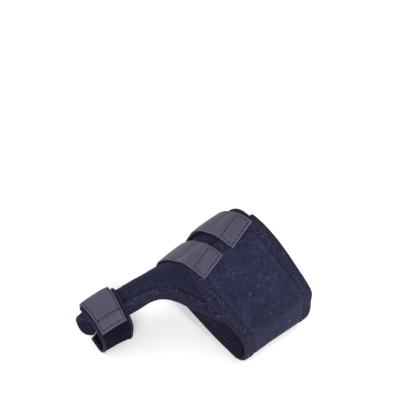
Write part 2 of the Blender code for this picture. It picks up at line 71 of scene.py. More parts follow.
# The panel: a wide band and the arm that leaves its front edge
PANEL_THICKNESS = 0.0020
BAND_WIDTH = 0.060
BAND_OVERLAP = 0.046
BAND_END_FROM_CREST = 0.003
ARM_TIP = 0.2255
ARM_TOP_GIRTH = -0.008
ARM_WIDTH = 0.0375
ARM_NOSE_UPPER = 0.026
ARM_NOSE_LOWER = 0.009
NOSE_PEAK = 0.62
NOSE_FROM = 0.5
POCKET_GIRTH = 0.0090
POCKET_WIDTH = 0.020
POCKET_RISE = 0.0022
POCKET_START = 0.148
POCKET_FADE = 0.018

# Heights of the layers as the solids have them
SOLID_TAPE_PROUD = 0.0009
LAYER_GAP = 0.0005
SKIN_GAP = 0.0002
SEAM_GAP = 0.0003
PANEL_LIFT = SKIN_GAP + SOLID_TAPE_PROUD + PANEL_THICKNESS / 2
LAYER_STEP = PANEL_THICKNESS + 2 * SOLID_TAPE_PROUD + LAYER_GAP
ARM_ROOT_SHARE = 16 / 42
SOLE_END_SHARE = 0.82
SOLE_EASE = 0.08
CLIMB_BEFORE = 0.07
CLIMB_LENGTH = 0.055
CLIMB_MARGIN = 0.003

# Instep straps
STRAP_THICKNESS = 0.0013
STRAP_WIDTH = 0.0195
STRAP_LENGTH = 0.069
STRAP_SLOPE = 0.27
SEWN_LENGTH = 0.0098
STRAP_DROP = 0.010
ARCH_RISE = 0.0036
ARCH_GIRTH = 0.012
ARCH_REACH = 0.024
ARCH_AT_REAR_EDGE = 0.4
STRAP_CORNER = 0.006
STRAP_PRESS = 0.0007
STRAP_PILLOW = 0.00035
PILLOW_EDGE = 0.004
PILLOW_FADE = 0.003
STRAP_CURL = 0.00035
STRAP_SEAM_DEPTH = 0.00030
STRAP_RIM = 0.0011
SEAM_INSET = 0.0015
STRAP_ON_PANEL = PANEL_THICKNESS / 2 + SOLID_TAPE_PROUD + LAYER_GAP + STRAP_THICKNESS / 2

# Toe loop and toe strap
LOOP_THICKNESS = 0.0010
LOOP_FRONT = 0.2205
LOOP_WIDTH = 0.0255
LOOP_BEFORE_FOLD = 0.002
LOOP_TAPE_WIDTH = 0.0014
TOE_STRAP_THICKNESS = 0.0012
TOE_STRAP_END_GIRTH = 0.0100
TOE_STRAP_TAIL = 0.015
FOLD_GIRTH = 0.0108
FOLD_RISE = 0.0016
FOLD_REACH = 0.006
LOOP_CLIMB = 0.016
LOOP_ROUND = 0.11
LOOP_TAPE_THICKNESS = 0.00042
LOOP_PULL = 0.00022
LOOP_PULL_FROM = 0.25
LOOP_PULL_TO = 0.86
LOOP_PULL_EVERY = 0.0030
TOE_SEAM_INSET = 0.0013
TOE_SEAM_DEPTH = 0.00028
TOE_STITCH_DEPTH = 0.00022
TOE_BOX = 0.0062
LOOP_LIFT = SKIN_GAP + SOLID_TAPE_PROUD + LOOP_THICKNESS / 2
LOOP_ON_ARM = PANEL_LIFT + PANEL_THICKNESS / 2 + LAYER_GAP + 2 * SOLID_TAPE_PROUD + LOOP_THICKNESS / 2
STRAP_ON_LOOP = LOOP_THICKNESS / 2 + SEAM_GAP + TOE_STRAP_THICKNESS / 2

# What the sheets measure when they lie flat
FRONT_TAPE_CUT = 0.389
REAR_TAPE_CUT = 0.305
END_TAPE_CUT = 0.0424

# The cloth's own relief: half its thickness under the tape, at the stitches, where it swells and beyond
TAPE_THICKNESS = 0.00045
HALF_UNDER_TAPE = 0.00085
HALF_AT_STITCHES = 0.00068
HALF_SWOLLEN = 0.00128
HALF_PLAIN = 0.00102
SWELL_TOP = 0.0094
SWELL_END = 0.0150
STITCH_ROWS = (0.0036, 0.0056)
TAPE_WIDTH = 0.0068
TAPE_RISE = HALF_UNDER_TAPE + TAPE_THICKNESS
STEP_UNDER_SOLE = TAPE_RISE - PANEL_THICKNESS / 2
SOLE_BLEND = 0.004
SOLE_FLATNESS = 0.94
ARM_FINISH_FROM = 0.10
ARM_GROOVE = 0.00030
ARM_SWELL = 0.00055
ARM_SWELL_REACH = 0.0045
GROOVE_OUT = 0.0005
GROOVE_REACH = 0.0007
WAVES_FROM = 0.004
WAVES_FADE = 0.008
WAVES_INSIDE = 0.5
CORNER_SHARE = 0.04
FRONT_INSET_FROM = 0.05
ROOT_LINE_SHARE = 0.12
TAPE_PUCKER = 0.00010
TAPE_STAND_OFF = 0.00002
FOLD_ROUNDNESS = 0.75
CUT_EDGE = 0.0005
TAPE_CUT_EDGE = 0.0003

# Uneven height of the cloths: height and size of each smooth noise
Waves = namedtuple("Waves", "height size")
CLOTH_WAVES = [Waves(0.00022, 0.0140), Waves(0.00010, 0.0052), Waves(0.00005, 0.0021)]
STRAP_WAVES = Waves(0.00018, 0.013)
STRAP_CREASES = Waves(0.00012, 0.0045)
TOE_WAVES = Waves(0.00010, 0.006)

# Sewing
Stitch = namedtuple("Stitch", "pitch length radius")
STITCH_PITCH = 0.0035
STITCH_LENGTH = 0.0023
THREAD_RADIUS = 0.00036
THREAD_SINK = 0.45
STITCH_DIP = 0.0012
SEAM_REACH = 0.0006
BOX_REACH = 0.0007
STRAP_STITCH = Stitch(0.0028, 0.0020, 0.00030)
TOE_STITCH = Stitch(0.0026, 0.0018, 0.00028)
LOOP_STITCH = Stitch(0.0024, 0.0018, 0.00016)

# Density of the visible meshes
CELL = 0.0011
TAPE_CELL = 0.0006
STRAP_CELL = 0.0008
BAND_ROUND = 0.25
BAND_ACROSS = 0.054
ARM_LINES = 96
ROOT_CELL = 0.9 * CELL
BEGIN_POINTS = 120
STRAP_RUN_CELL = 0.0009
TOE_STRAP_CELL = 0.0007
TOE_STRAP_ACROSS = 0.022
LOOP_SHARE_CELL = 0.0085
LOOP_SHARE_RIM = (0.0, 0.0006, 0.002, 0.004)
EDGE_STEP = 0.0008
FORM_STEP = 0.002
FORM_FROM = 0.070
FORM_TO = 0.236
FORM_ROUND = 480
PROBE = 0.0006

# Stage
CAMERA_TURN = 55.44
CAMERA_RISE = 43.61
CAMERA_FOCAL_PIXELS = 700
CAMERA_DISTANCE = 0.4224
CAMERA_AIM = (0.0, -0.1510, 0.1266)
IMAGE_PIXELS = 400
SENSOR_WIDTH = 36.0
FLOOR_REACH = 4.0
FLOOR_HEIGHT = -0.0003
WORLD_STRENGTH = 0.84
LAMP_AIM = (0.0, 0.0, 0.03)
Lamp = namedtuple("Lamp", "name place size watts tint")
LAMPS = [
    Lamp("key", (1.0, -0.65, 0.85), 0.75, 20.0, (1.0, 0.99, 0.98)),
    Lamp("fill", (-0.9, -0.5, 0.9), 0.9, 5.0, (0.95, 0.97, 1.0)),
    Lamp("rim", (0.3, 1.0, 0.9), 0.6, 6.0, (1.0, 0.98, 0.97)),
]

# Colours in linear light: label, description and value
COLOURS = {
    "cloth": ("Cloth", "Brushed cloth of the panel", (0.0175, 0.0185, 0.044)),
    # cloth_light is also the colour of the painted highlight along the swell beside the tape.
    "cloth_light": ("Cloth, fibre ends", "Lighter ends of its fibres", (0.041, 0.044, 0.096)),
    "cloth_sheen": ("Cloth, sheen", "Tint of the light that skims the pile", (0.55, 0.60, 1.0)),
    "lint": ("Lint", "Single pale fibres on the cloth", (0.26, 0.26, 0.34)),
    "lining": ("Lining", "Side that lies on the skin", (0.012, 0.012, 0.034)),
    "tape": ("Tape", "Binding tape", (0.0135, 0.0130, 0.0325)),
    "tape_fold": ("Tape, fold", "Binding tape along its fold", (0.020, 0.0145, 0.029)),
    "tape_light": ("Tape, fibre ends", "Lighter threads of the tape", (0.054, 0.053, 0.105)),
    "strap": ("Strap", "Smooth strap cloth", (0.045, 0.040, 0.070)),
    "strap_light": ("Strap, edge", "Cut edge and worn spots of the straps", (0.105, 0.096, 0.140)),
    "knit": ("Knit", "Cloth of the toe loop", (0.0045, 0.0035, 0.011)),
    "thread": ("Thread", "Sewing thread", (0.004, 0.0035, 0.009)),
    "floor": ("Floor", "Floor that the splint stands on", (0.90, 0.90, 0.90)),
}

# Sections of the foot. along is a share of FOOT_LENGTH; medial, lateral and crest are places across
# the foot as shares of FOOT_WIDTH; crest_up, side_up and arch_up are heights as shares of INSTEP_HEIGHT.
Station = namedtuple("Station", "along medial lateral crest crest_up side_up arch_up")
STATIONS = [
    Station(0.229, -0.41, 0.43, -0.11, 1.03, 0.41, 0.16),
    Station(0.333, -0.43, 0.44, -0.14, 0.95, 0.40, 0.18),
    Station(0.417, -0.46, 0.45, -0.16, 0.885, 0.39, 0.18),
    Station(0.500, -0.48, 0.46, -0.17, 0.76, 0.36, 0.15),
    Station(0.583, -0.475, 0.48, -0.18, 0.64, 0.33, 0.10),
    Station(0.667, -0.460, 0.50, -0.20, 0.54, 0.29, 0.05),
    Station(0.750, -0.475, 0.49, -0.26, 0.45, 0.25, 0.02),
    Station(0.833, -0.495, 0.40, -0.34, 0.335, 0.18, 0.00),
    Station(0.917, -0.475, 0.30, -0.35, 0.28, 0.15, 0.00),
    Station(1.000, -0.45, 0.20, -0.35, 0.20, 0.12, 0.02),
]

# Outline of one section, in order from the crest over the outer side and the sole to the inner side.
# side is +1 on the outer half and -1 on the inner half; out is the share of the way from the crest to
# that side; the other columns say how much of crest_up, side_up and arch_up make up the height.
Knot = namedtuple("Knot", "side out of_crest of_side of_arch")
FOOT_OUTLINE = [
    Knot(+1, 0.00, 1.00, 0.00, 0.00),
    Knot(+1, 0.45, 0.87, 0.00, 0.00),
    Knot(+1, 0.82, 0.55, 0.00, 0.00),
    Knot(+1, 1.00, 0.00, 0.45, 0.00),
    Knot(+1, 0.86, 0.00, 0.00, 0.00),
    Knot(+1, 0.45, 0.00, 0.00, 0.00),
    Knot(+1, 0.00, 0.00, 0.00, 0.25),
    Knot(-1, 0.62, 0.00, 0.00, 1.00),
    Knot(-1, 1.00, 0.00, 1.00, 0.00),
    Knot(-1, 0.70, 0.84, 0.00, 0.00),
]
TOE_OUTLINE = [
    Knot(+1, 0.00, 1.00, 0.00, 0.00),
    Knot(+1, 0.55, 0.91, 0.00, 0.00),
    Knot(+1, 0.89, 0.68, 0.00, 0.00),
    Knot(+1, 0.97, 0.00, 0.55, 0.00),
    Knot(+1, 0.66, 0.05, 0.00, 0.00),
    Knot(+1, 0.25, 0.00, 0.00, 0.00),
    Knot(+1, 0.00, 0.00, 0.00, 0.25),
    Knot(-1, 0.62, 0.02, 0.00, 1.00),
    Knot(-1, 1.00, 0.00, 1.00, 0.00),
    Knot(-1, 0.70, 0.84, 0.00, 0.00),
]

# Edges of the band: share of the way round, rear edge as a share of FOOT_LENGTH, width of BAND_WIDTH
BAND_EDGES = np.array([
    (0.00, 0.408, 0.84),
    (0.17, 0.417, 0.83),
    (0.33, 0.413, 0.84),
    (0.50, 0.385, 0.92),
    (0.65, 0.360, 0.97),
    (0.76, 0.350, 1.00),
    (0.83, 0.372, 0.98),
    (0.92, 0.395, 0.95),
    (1.00, 0.411, 0.85),
])

# How the arm narrows: share of the way to its tip, share of the narrowing that has happened there
ARM_EDGES = np.array([
    (0.00, 0.00),
    (0.05, 0.13),
    (0.11, 0.30),
    (0.18, 0.50),
    (0.23, 0.68),
    (0.28, 0.83),
    (0.35, 0.95),
    (0.44, 1.00),
    (1.00, 1.00),
])

# Width of the toe loop on its way from the arm's lower edge to the fold, as a share of LOOP_WIDTH
LOOP_EDGES = np.array([
    (0.0, 0.85),
    (0.3, 0.86),
    (0.6, 0.92),
    (0.8, 0.97),
    (1.0, 1.00),
])

# Where the instep straps are sewn on: the middle of the end along the foot as a share of FOOT_LENGTH,
# its place on the outer side of the crest as a share of BAND_OVERLAP, and how far it arches
StrapSeat = namedtuple("StrapSeat", "along girth arch")
STRAP_SEATS = {
    "front_strap": StrapSeat(0.569, 0.31, 0.0),
    "rear_strap": StrapSeat(0.460, 0.22, 1.0),
}


def ease(share):
    """Smooth step: 3 s^2 - 2 s^3, from 0 at share 0 to 1 at share 1."""
    share = np.clip(share, 0.0, 1.0)
    return share * share * (3.0 - 2.0 * share)


def hump(x, middle, reach):
    """Bell that is 1 at the middle and falls as exp(-(distance / reach)^2)."""
    return np.exp(-(((x - middle) / reach) ** 2))


def round_off(share):
    """How far a quarter of an ellipse falls back: 1 - sqrt(1 - s^2)."""
    share = np.clip(share, 0.0, 1.0)
    return 1.0 - np.sqrt(1.0 - share * share)


def spline(knots, values, at, period=None):
    """C2 cubic spline through values at knots, closed where a period is given."""
    knots = np.asarray(knots, float)
    values = np.asarray(values, float)
    count = len(knots)
    spans = count - 1
    if period:
        knots = np.append(knots, knots[0] + period)
        values = np.vstack([values, values[:1]])
        spans = count
    width = np.diff(knots)
    step = np.diff(values, axis=0) / width[:, None]
    matrix = np.zeros((count, count))
    target = np.zeros((count, values.shape[1]))
    for i in range(count):
        if not period and i in (0, count - 1):
            matrix[i, i] = 1.0
            continue
        left = (i - 1) % spans
        matrix[i, (i - 1) % count] += width[left]
        matrix[i, i] += 2.0 * (width[left] + width[i])
        matrix[i, (i + 1) % count] += width[i]
        target[i] = 6.0 * (step[i] - step[left])
    bend = np.linalg.solve(matrix, target)
    if period:
        bend = np.vstack([bend, bend[:1]])
    at = np.asarray(at, float)
    if period:
        at = knots[0] + (at - knots[0]) % period
    span = np.clip(np.searchsorted(knots, at, side="right") - 1, 0, spans - 1)
    past = (at - knots[span])[..., None]
    left_over = (knots[span + 1] - at)[..., None]
    wide = width[span][..., None]
    cubic = (bend[span] * left_over**3 + bend[span + 1] * past**3) / (6.0 * wide)
    right_part = (values[span + 1] / wide - bend[span + 1] * wide / 6.0) * past
    left_part = (values[span] / wide - bend[span] * wide / 6.0) * left_over
    return cubic + right_part + left_part


def outline_knots(outline, medial, lateral, crest, crest_up, side_up, arch_up):
    """Corner points of each section: an array of sections by knots by (across, up)."""
    points = []
    for knot in outline:
        side = lateral if knot.side > 0 else medial
        across = crest + knot.out * (side - crest)
        up = knot.of_crest * crest_up + knot.of_side * side_up + knot.of_arch * arch_up
        points.append(np.stack([across, up], axis=-1))
    return np.stack(points, axis=1)


def form_table():
    """The form as a grid: sections FORM_STEP apart by FORM_ROUND points at even distances round each.

    Returns the points and the length round each section. A section is a closed spline through its
    knots, flattened at the floor, walked from the crest over the outer side.
    """
    along = np.arange(FORM_FROM, FORM_TO + FORM_STEP / 2, FORM_STEP)
    table = np.array(STATIONS, float)
    table[:, 0] *= FOOT_LENGTH
    table[:, 1:4] *= FOOT_WIDTH
    table[:, 4:] *= INSTEP_HEIGHT
    medial, lateral, crest, crest_up, side_up, arch_up = spline(table[:, 0], table[:, 1:], along).T
    foot = outline_knots(FOOT_OUTLINE, medial, lateral, crest, crest_up, side_up, arch_up)
    parted = ease((along - TOE_PARTING_START) / (TOE_PARTING_END - TOE_PARTING_START))
    past_parting = (along - TOE_PARTING_END) / (FOOT_LENGTH - TOE_PARTING_END)
    toe_lateral = medial + TOE_WIDTH * (1.0 - TOE_TAPER * np.clip(past_parting, 0.0, 1.0))
    toe = outline_knots(TOE_OUTLINE, medial, toe_lateral, crest, crest_up, side_up, arch_up)
    knots = foot + (toe - foot) * parted[:, None, None]
    turns = np.linspace(0.0, 1.0, 4 * FORM_ROUND + 1)
    places = np.arange(len(FOOT_OUTLINE)) / len(FOOT_OUTLINE)
    flat = knots.transpose(1, 0, 2).reshape(len(places), -1)
    ring = spline(places, flat, turns % 1.0, period=1.0)
    ring = ring.reshape(len(turns), len(along), 2).transpose(1, 0, 2)
    ring[..., 1] = np.maximum(ring[..., 1], 0.0)
    steps = np.linalg.norm(np.diff(ring, axis=1), axis=2)
    length = np.concatenate([np.zeros((len(ring), 1)), np.cumsum(steps, axis=1)], axis=1)
    even = np.arange(FORM_ROUND) / FORM_ROUND
    points = np.empty((len(along), FORM_ROUND, 3))
    points[..., 1] = -along[:, None]
    for i, row in enumerate(ring):
        points[i, :, 0] = np.interp(even * length[i, -1], length[i], row[:, 0])
        points[i, :, 2] = np.interp(even * length[i, -1], length[i], row[:, 1])
    return points, length[:, -1]


FORM, FORM_TURN = form_table()


def taps(x):
    """Whole part of x and the four Catmull-Rom weights for the neighbours at -1, 0, 1 and 2."""
    whole = np.floor(x).astype(int)
    t = x - whole
    weights = np.stack([
        0.5 * (-t + 2 * t**2 - t**3),
        0.5 * (2 - 5 * t**2 + 3 * t**3),
        0.5 * (t + 4 * t**2 - 3 * t**3),
        0.5 * (-t**2 + t**3),
    ])
    return whole, weights


def perimeter(along):
    """Length of the whole section at each along."""
    whole, weights = taps((np.asarray(along, float) - FORM_FROM) / FORM_STEP)
    near = np.clip(whole + np.arange(-1, 3).reshape((4,) + (1,) * whole.ndim), 0, len(FORM_TURN) - 1)
    return (FORM_TURN[near] * weights).sum(axis=0)


def form_point(along, girth):
    """Points of the bare form: Catmull-Rom through the form's grid in both directions."""
    row, row_weights = taps((along - FORM_FROM) / FORM_STEP)
    spot, spot_weights = taps((-girth / perimeter(along)) % 1.0 * FORM_ROUND)
    points = 0.0
    for i in range(4):
        near_row = np.clip(row + i - 1, 0, len(FORM) - 1)
        for j in range(4):
            weight = row_weights[i] * spot_weights[j]
            points = points + FORM[near_row, (spot + j - 1) % FORM_ROUND] * weight[..., None]
    return points


def form_normal(along, girth):
    """Outward unit normals: the cross product of the slopes round and along the form."""
    round_step = form_point(along, girth + PROBE) - form_point(along, girth - PROBE)
    along_step = form_point(along + PROBE, girth) - form_point(along - PROBE, girth)
    normal = np.cross(round_step, along_step)
    return normal / np.linalg.norm(normal, axis=-1, keepdims=True)


def draped(along, girth, lift):
    """Points in the model at a lift above the form, measured square to it."""
    along, girth, lift = np.broadcast_arrays(along, girth, lift)
    return form_point(along, girth) + form_normal(along, girth) * lift[..., None] + FOOT_ORIGIN


def lattice_noise(x, y, size, seed):
    """Smooth noise from -1 to 1: random values on a square lattice of that size, eased between."""
    values = np.random.default_rng(seed).uniform(-1.0, 1.0, (64, 64))
    x, y = x / size, y / size
    i, j = np.floor(x).astype(int), np.floor(y).astype(int)
    s, t = ease(x - i), ease(y - j)
    low = values[i % 64, j % 64] * (1 - s) + values[(i + 1) % 64, j % 64] * s
    high = values[i % 64, (j + 1) % 64] * (1 - s) + values[(i + 1) % 64, (j + 1) % 64] * s
    return low * (1 - t) + high * t


def band_girth(share, along):
    """Girth of the band at a share of the way round, from its hidden beginning to its upper end."""
    return share * (perimeter(along) + BAND_OVERLAP - BAND_END_FROM_CREST) - BAND_OVERLAP


def band_edges(share):
    """Rear and front edge of the band: a spline through the rows of BAND_EDGES."""
    edges = spline(BAND_EDGES[:, 0], BAND_EDGES[:, 1:], share)
    rear = edges[..., 0] * FOOT_LENGTH
    return rear, rear + edges[..., 1] * BAND_WIDTH


def on_sole(share):
    """1 where the band lies under the sole, 0 on top of the foot and along the arm's root."""
    return ease((share - ARM_ROOT_SHARE) / SOLE_EASE) * ease((SOLE_END_SHARE - share) / SOLE_EASE)


def half_thickness(inset):
    """Half the cloth's thickness by its distance from a bound edge: pressed by the tape, drawn in at
    the stitches, swollen beside them and then plain."""
    dip = (HALF_UNDER_TAPE - HALF_AT_STITCHES) * sum(hump(inset, row, STITCH_DIP) for row in STITCH_ROWS)
    swell = (HALF_SWOLLEN - HALF_UNDER_TAPE) * ease((inset - STITCH_ROWS[1]) / (SWELL_TOP - STITCH_ROWS[1]))
    fall = (HALF_SWOLLEN - HALF_PLAIN) * ease((inset - SWELL_TOP) / (SWELL_END - SWELL_TOP))
    return HALF_UNDER_TAPE - dip + swell - fall


def band_lift(share, inset):
    """Lift of the band's middle surface: one layer higher over the hidden beginning, and its bound
    edges drawn up under the sole, so that tape and cloth stand on one plane."""
    length = perimeter(np.array(BAND_EDGES[0, 1] * FOOT_LENGTH))
    begin_of_overlap = 1.0 - (BAND_OVERLAP + CLIMB_MARGIN) / length
    climb = ease((share - begin_of_overlap + CLIMB_BEFORE) / CLIMB_LENGTH)
    step_in = 1.0 - ease((inset - TAPE_WIDTH) / SOLE_BLEND)
    return PANEL_LIFT + climb * LAYER_STEP - step_in * on_sole(share) * STEP_UNDER_SOLE


def pocket_lift(along, girth):
    """Raised pocket along the arm: a cosine-squared ridge that fades in past the band."""
    across = np.clip((girth - POCKET_GIRTH) / (POCKET_WIDTH / 2), -1.0, 1.0)
    return POCKET_RISE * np.cos(across * np.pi / 2) ** 2 * ease((along - POCKET_START) / POCKET_FADE)


def arm_place(reach, across):
    """Along and girth of the arm, from its root (reach 0) to its tip (reach 1).

    Rows run from the band's front edge to a nose made of two quarter ellipses; the upper and lower
    ends of each row shift towards the straight stretch as ARM_EDGES says.
    """
    share = across * ARM_ROOT_SHARE
    front = band_edges(share)[1]
    nose = ARM_NOSE_UPPER * round_off((NOSE_PEAK - across) / NOSE_PEAK)
    nose = nose + ARM_NOSE_LOWER * round_off((across - NOSE_PEAK) / (1.0 - NOSE_PEAK))
    rounded = np.clip((reach - NOSE_FROM) / (1.0 - NOSE_FROM), 0.0, 1.0)
    along = front + reach * (ARM_TIP - front) - rounded * nose
    corners = np.array([0.0, ARM_ROOT_SHARE])
    root_top, root_bottom = band_girth(corners, band_edges(corners)[1])
    narrowed = np.clip(spline(ARM_EDGES[:, 0], ARM_EDGES[:, 1:], reach)[..., 0], 0.0, 1.0)
    narrowed = np.where(reach > ARM_EDGES[-2, 0], 1.0, narrowed)
    top_shift = (ARM_TOP_GIRTH - root_top) * narrowed
    bottom_shift = (ARM_TOP_GIRTH + ARM_WIDTH - root_bottom) * narrowed
    girth = band_girth(share, front) + top_shift * (1.0 - across) + bottom_shift * across
    return along, girth


def walked(points):
    """Length walked along a row of points up to each of them."""
    return np.concatenate([[0.0], np.cumsum(np.linalg.norm(np.diff(points, axis=0), axis=1))])


def evened(line, step):
    """A polyline resampled to even steps of about that length, by its first two columns."""
    length = walked(line[:, :2])
    at = np.linspace(0.0, length[-1], int(round(length[-1] / step)) + 1)
    return np.stack([np.interp(at, length, column) for column in line.T], axis=1)


def smoothed(values, reach):
    """Rows averaged with their neighbours, with bell weights; the two ends are held."""
    spread = np.arange(-3 * reach, 3 * reach + 1)
    weights = np.exp(-((spread / reach) ** 2))
    near = np.clip(np.arange(len(values))[:, None] + spread, 0, len(values) - 1)
    return (values[near] * weights[None, :, None]).sum(axis=1) / weights.sum()


def front_edge():
    """The line that the front binding follows: arm's upper edge, nose, lower edge, band's front edge.

    Returns along, girth, share round the band and how far the line is on the band (0 on the arm).
    """
    fine = np.linspace(0.0, 1.0, 400)
    parts = []
    for reach, across in ((fine, 0 * fine), (0 * fine + 1, fine), (fine[::-1], 0 * fine + 1)):
        along, girth = arm_place(reach, across)
        parts.append(np.stack([along, girth, across * ARM_ROOT_SHARE, 0 * fine], axis=1))
    share = ARM_ROOT_SHARE + fine * (1.0 - ARM_ROOT_SHARE)
    along = band_edges(share)[1]
    parts.append(np.stack([along, band_girth(share, along), share, 0 * fine + 1], axis=1))
    line = evened(np.vstack([part[:-1] for part in parts[:-1]] + [parts[-1]]), EDGE_STEP)
    return np.hstack([line[:, :3], smoothed(line[:, 3:], 4)])


def turned_inward(edge):
    """Steps in (along, girth) that go square off an edge, to its left, by one unit on the surface."""
    forward, sideways = smoothed(np.gradient(edge, axis=0), 2).T
    along, girth = edge.T
    by_along = (form_point(along + PROBE, girth) - form_point(along - PROBE, girth)) / (2 * PROBE)
    by_girth = (form_point(along, girth + PROBE) - form_point(along, girth - PROBE)) / (2 * PROBE)
    stretch_along = (by_along * by_along).sum(axis=1)
    stretch_girth = (by_girth * by_girth).sum(axis=1)
    shear = (by_along * by_girth).sum(axis=1)
    left_along = -(forward * shear + sideways * stretch_girth)
    left_girth = forward * stretch_along + sideways * shear
    length = np.linalg.norm(by_along * left_along[:, None] + by_girth * left_girth[:, None], axis=1)
    return smoothed(np.stack([left_along / length, left_girth / length], axis=1), 2)


FRONT_EDGE = front_edge()
FRONT_INWARD = turned_inward(FRONT_EDGE[:, :2])


def front_spot(i, inset):
    """Place at an inset from point i of the front edge: square off it on the arm, along the foot on
    the band, and eased from one to the other at the corner."""
    along, girth, share, on_band = np.moveaxis(FRONT_EDGE[i], -1, 0)
    off = np.moveaxis(FRONT_INWARD[i], -1, 0)
    arm_along, arm_girth = along + off[0] * inset, girth + off[1] * inset
    band_along = along - inset
    on_band = on_band * ease((share - ARM_ROOT_SHARE) / CORNER_SHARE)
    on_arm_lift = PANEL_LIFT + pocket_lift(arm_along, arm_girth)
    spot_along = arm_along + (band_along - arm_along) * on_band
    spot_girth = arm_girth + (band_girth(share, band_along) - arm_girth) * on_band
    lift = on_arm_lift + (band_lift(share, inset) - on_arm_lift) * on_band
    return spot_along, spot_girth, lift


def rear_spot(share, inset):
    """Place at an inset from the band's rear edge."""
    along = band_edges(share)[0] + inset
    return along, band_girth(share, along), band_lift(share, np.abs(inset))


def end_spot(across, inset):
    """Place at an inset from the band's upper end; across runs from its rear to its front edge."""
    rear, front = band_edges(np.array(1.0))
    along = rear + across * (front - rear)
    edge = np.minimum(along - rear, front - along)
    return along, band_girth(1.0, along) - inset, band_lift(1.0, edge) + 0.0 * inset


def strap_place(seat, run, aside):
    """Instep strap at a distance run from its sewn end and aside from its middle line.

    The strap leaves the band's end at a slope, drops one layer past that end and then lies on the
    inner side; the rear one stands off in a cosine-squared arch that is highest at its front edge.
    """
    tilt = math.atan(STRAP_SLOPE)
    girth = -seat.girth * BAND_OVERLAP + run * math.cos(tilt) - aside * math.sin(tilt)
    along = seat.along * FOOT_LENGTH + run * math.sin(tilt) + aside * math.cos(tilt)
    drop = LAYER_STEP * ease((girth + BAND_END_FROM_CREST - SOLID_TAPE_PROUD) / STRAP_DROP)
    from_top = np.clip((girth - ARCH_GIRTH) / ARCH_REACH, -1.0, 1.0)
    arch = ARCH_RISE * np.cos(from_top * np.pi / 2) ** 2
    arch = arch * (ARCH_AT_REAR_EDGE + (1.0 - ARCH_AT_REAR_EDGE) * ease(aside / STRAP_WIDTH + 0.5))
    return along, girth, PANEL_LIFT + LAYER_STEP + STRAP_ON_PANEL - drop + seat.arch * arch


def loop_lift(along, past_crest):
    """Lift of the toe loop's middle surface: it climbs over the arm's upper edge and its pocket, and
    rises in a tent under the strap's fold."""
    climb = ease((past_crest - ARM_TOP_GIRTH + SOLID_TAPE_PROUD + LOOP_CLIMB) / LOOP_CLIMB)
    fold = np.clip(1.0 - np.abs(past_crest - FOLD_GIRTH) / FOLD_REACH, 0.0, 1.0)
    over_arm = LOOP_ON_ARM - LOOP_LIFT + pocket_lift(along, past_crest)
    return LOOP_LIFT + climb * over_arm + FOLD_RISE * fold


def loop_edges(share):
    """Rear and front edge of the toe loop at a share of its way."""
    wide = spline(LOOP_EDGES[:, 0], LOOP_EDGES[:, 1:], share)[..., 0]
    return LOOP_FRONT - wide * LOOP_WIDTH, LOOP_FRONT + 0.0 * wide


def loop_place(share, along):
    """Girth and lift of the toe loop: it starts at the arm's lower edge and ends just before the fold."""
    turn = perimeter(along)
    start = ARM_TOP_GIRTH + ARM_WIDTH + SOLID_TAPE_PROUD + SEAM_GAP
    girth = start + share * (turn + FOLD_GIRTH - LOOP_BEFORE_FOLD - start)
    return along, girth, loop_lift(along, girth - turn)


def grid_faces(index):
    """Quads of a grid of vertex numbers, turned so that they face the way the form does."""
    corners = [index[:-1, :-1], index[1:, :-1], index[1:, 1:], index[:-1, 1:]]
    return np.stack(corners, axis=-1).reshape(-1, 4)


def lines_between(length, cell, rim=(0.0, 0.00006, 0.00020, 0.00042, 0.00075)):
    """Distances from 0 to length: close at both rims, even between them."""
    rim = np.array(rim)
    count = max(2, int(round((length - 2 * rim[-1]) / cell)))
    middle = np.linspace(rim[-1], length - rim[-1], count + 1)
    return np.concatenate([rim[:-1], middle, length - rim[-2::-1]])


def rounded_half(distance, thickness, edge=CUT_EDGE):
    """Half a sheet's thickness near its cut edge: a quarter circle that closes at the edge."""
    inner = 1.0 - np.clip(distance / edge, 0.0, 1.0)
    return thickness / 2 * np.sqrt(1.0 - inner * inner)


def surface_normals(grid):
    """Unit normals of a grid of points: the cross product of its two gradients."""
    normal = np.cross(np.gradient(grid, axis=0), np.gradient(grid, axis=1))
    return normal / np.maximum(np.linalg.norm(normal, axis=-1, keepdims=True), 1e-12)


def signed_volume(points, faces):
    """Volume inside closed faces, negative where they face inwards: a sum of tetrahedra."""
    a, b, c, d = (points[faces[:, k]] for k in range(4))
    return (np.einsum("ij,ij->i", a, np.cross(b, c)) + np.einsum("ij,ij->i", a, np.cross(c, d))).sum() / 6


def cleaned(mesh, work):
    """Runs one piece of work on a mesh's faces and edges."""
    shape = bmesh.new()
    shape.from_mesh(mesh)
    work(shape)
    shape.to_mesh(mesh)
    shape.free()


def close_rims(shape):
    """Joins the points of both sides where they meet at the rims."""
    bmesh.ops.remove_doubles(shape, verts=shape.verts, dist=1e-7)
    bmesh.ops.dissolve_degenerate(shape, edges=shape.edges, dist=1e-8)


def face_outwards(shape):
    """Turns all faces outwards."""
    bmesh.ops.recalc_face_normals(shape, faces=shape.faces)


def riding(name, mesh):
    """The mesh as a smooth object of the scene that rides on the root."""
    mesh.shade_smooth()
    piece = bpy.data.objects.new(name, mesh)
    bpy.context.scene.collection.objects.link(piece)
    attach(piece, "root")
    return piece


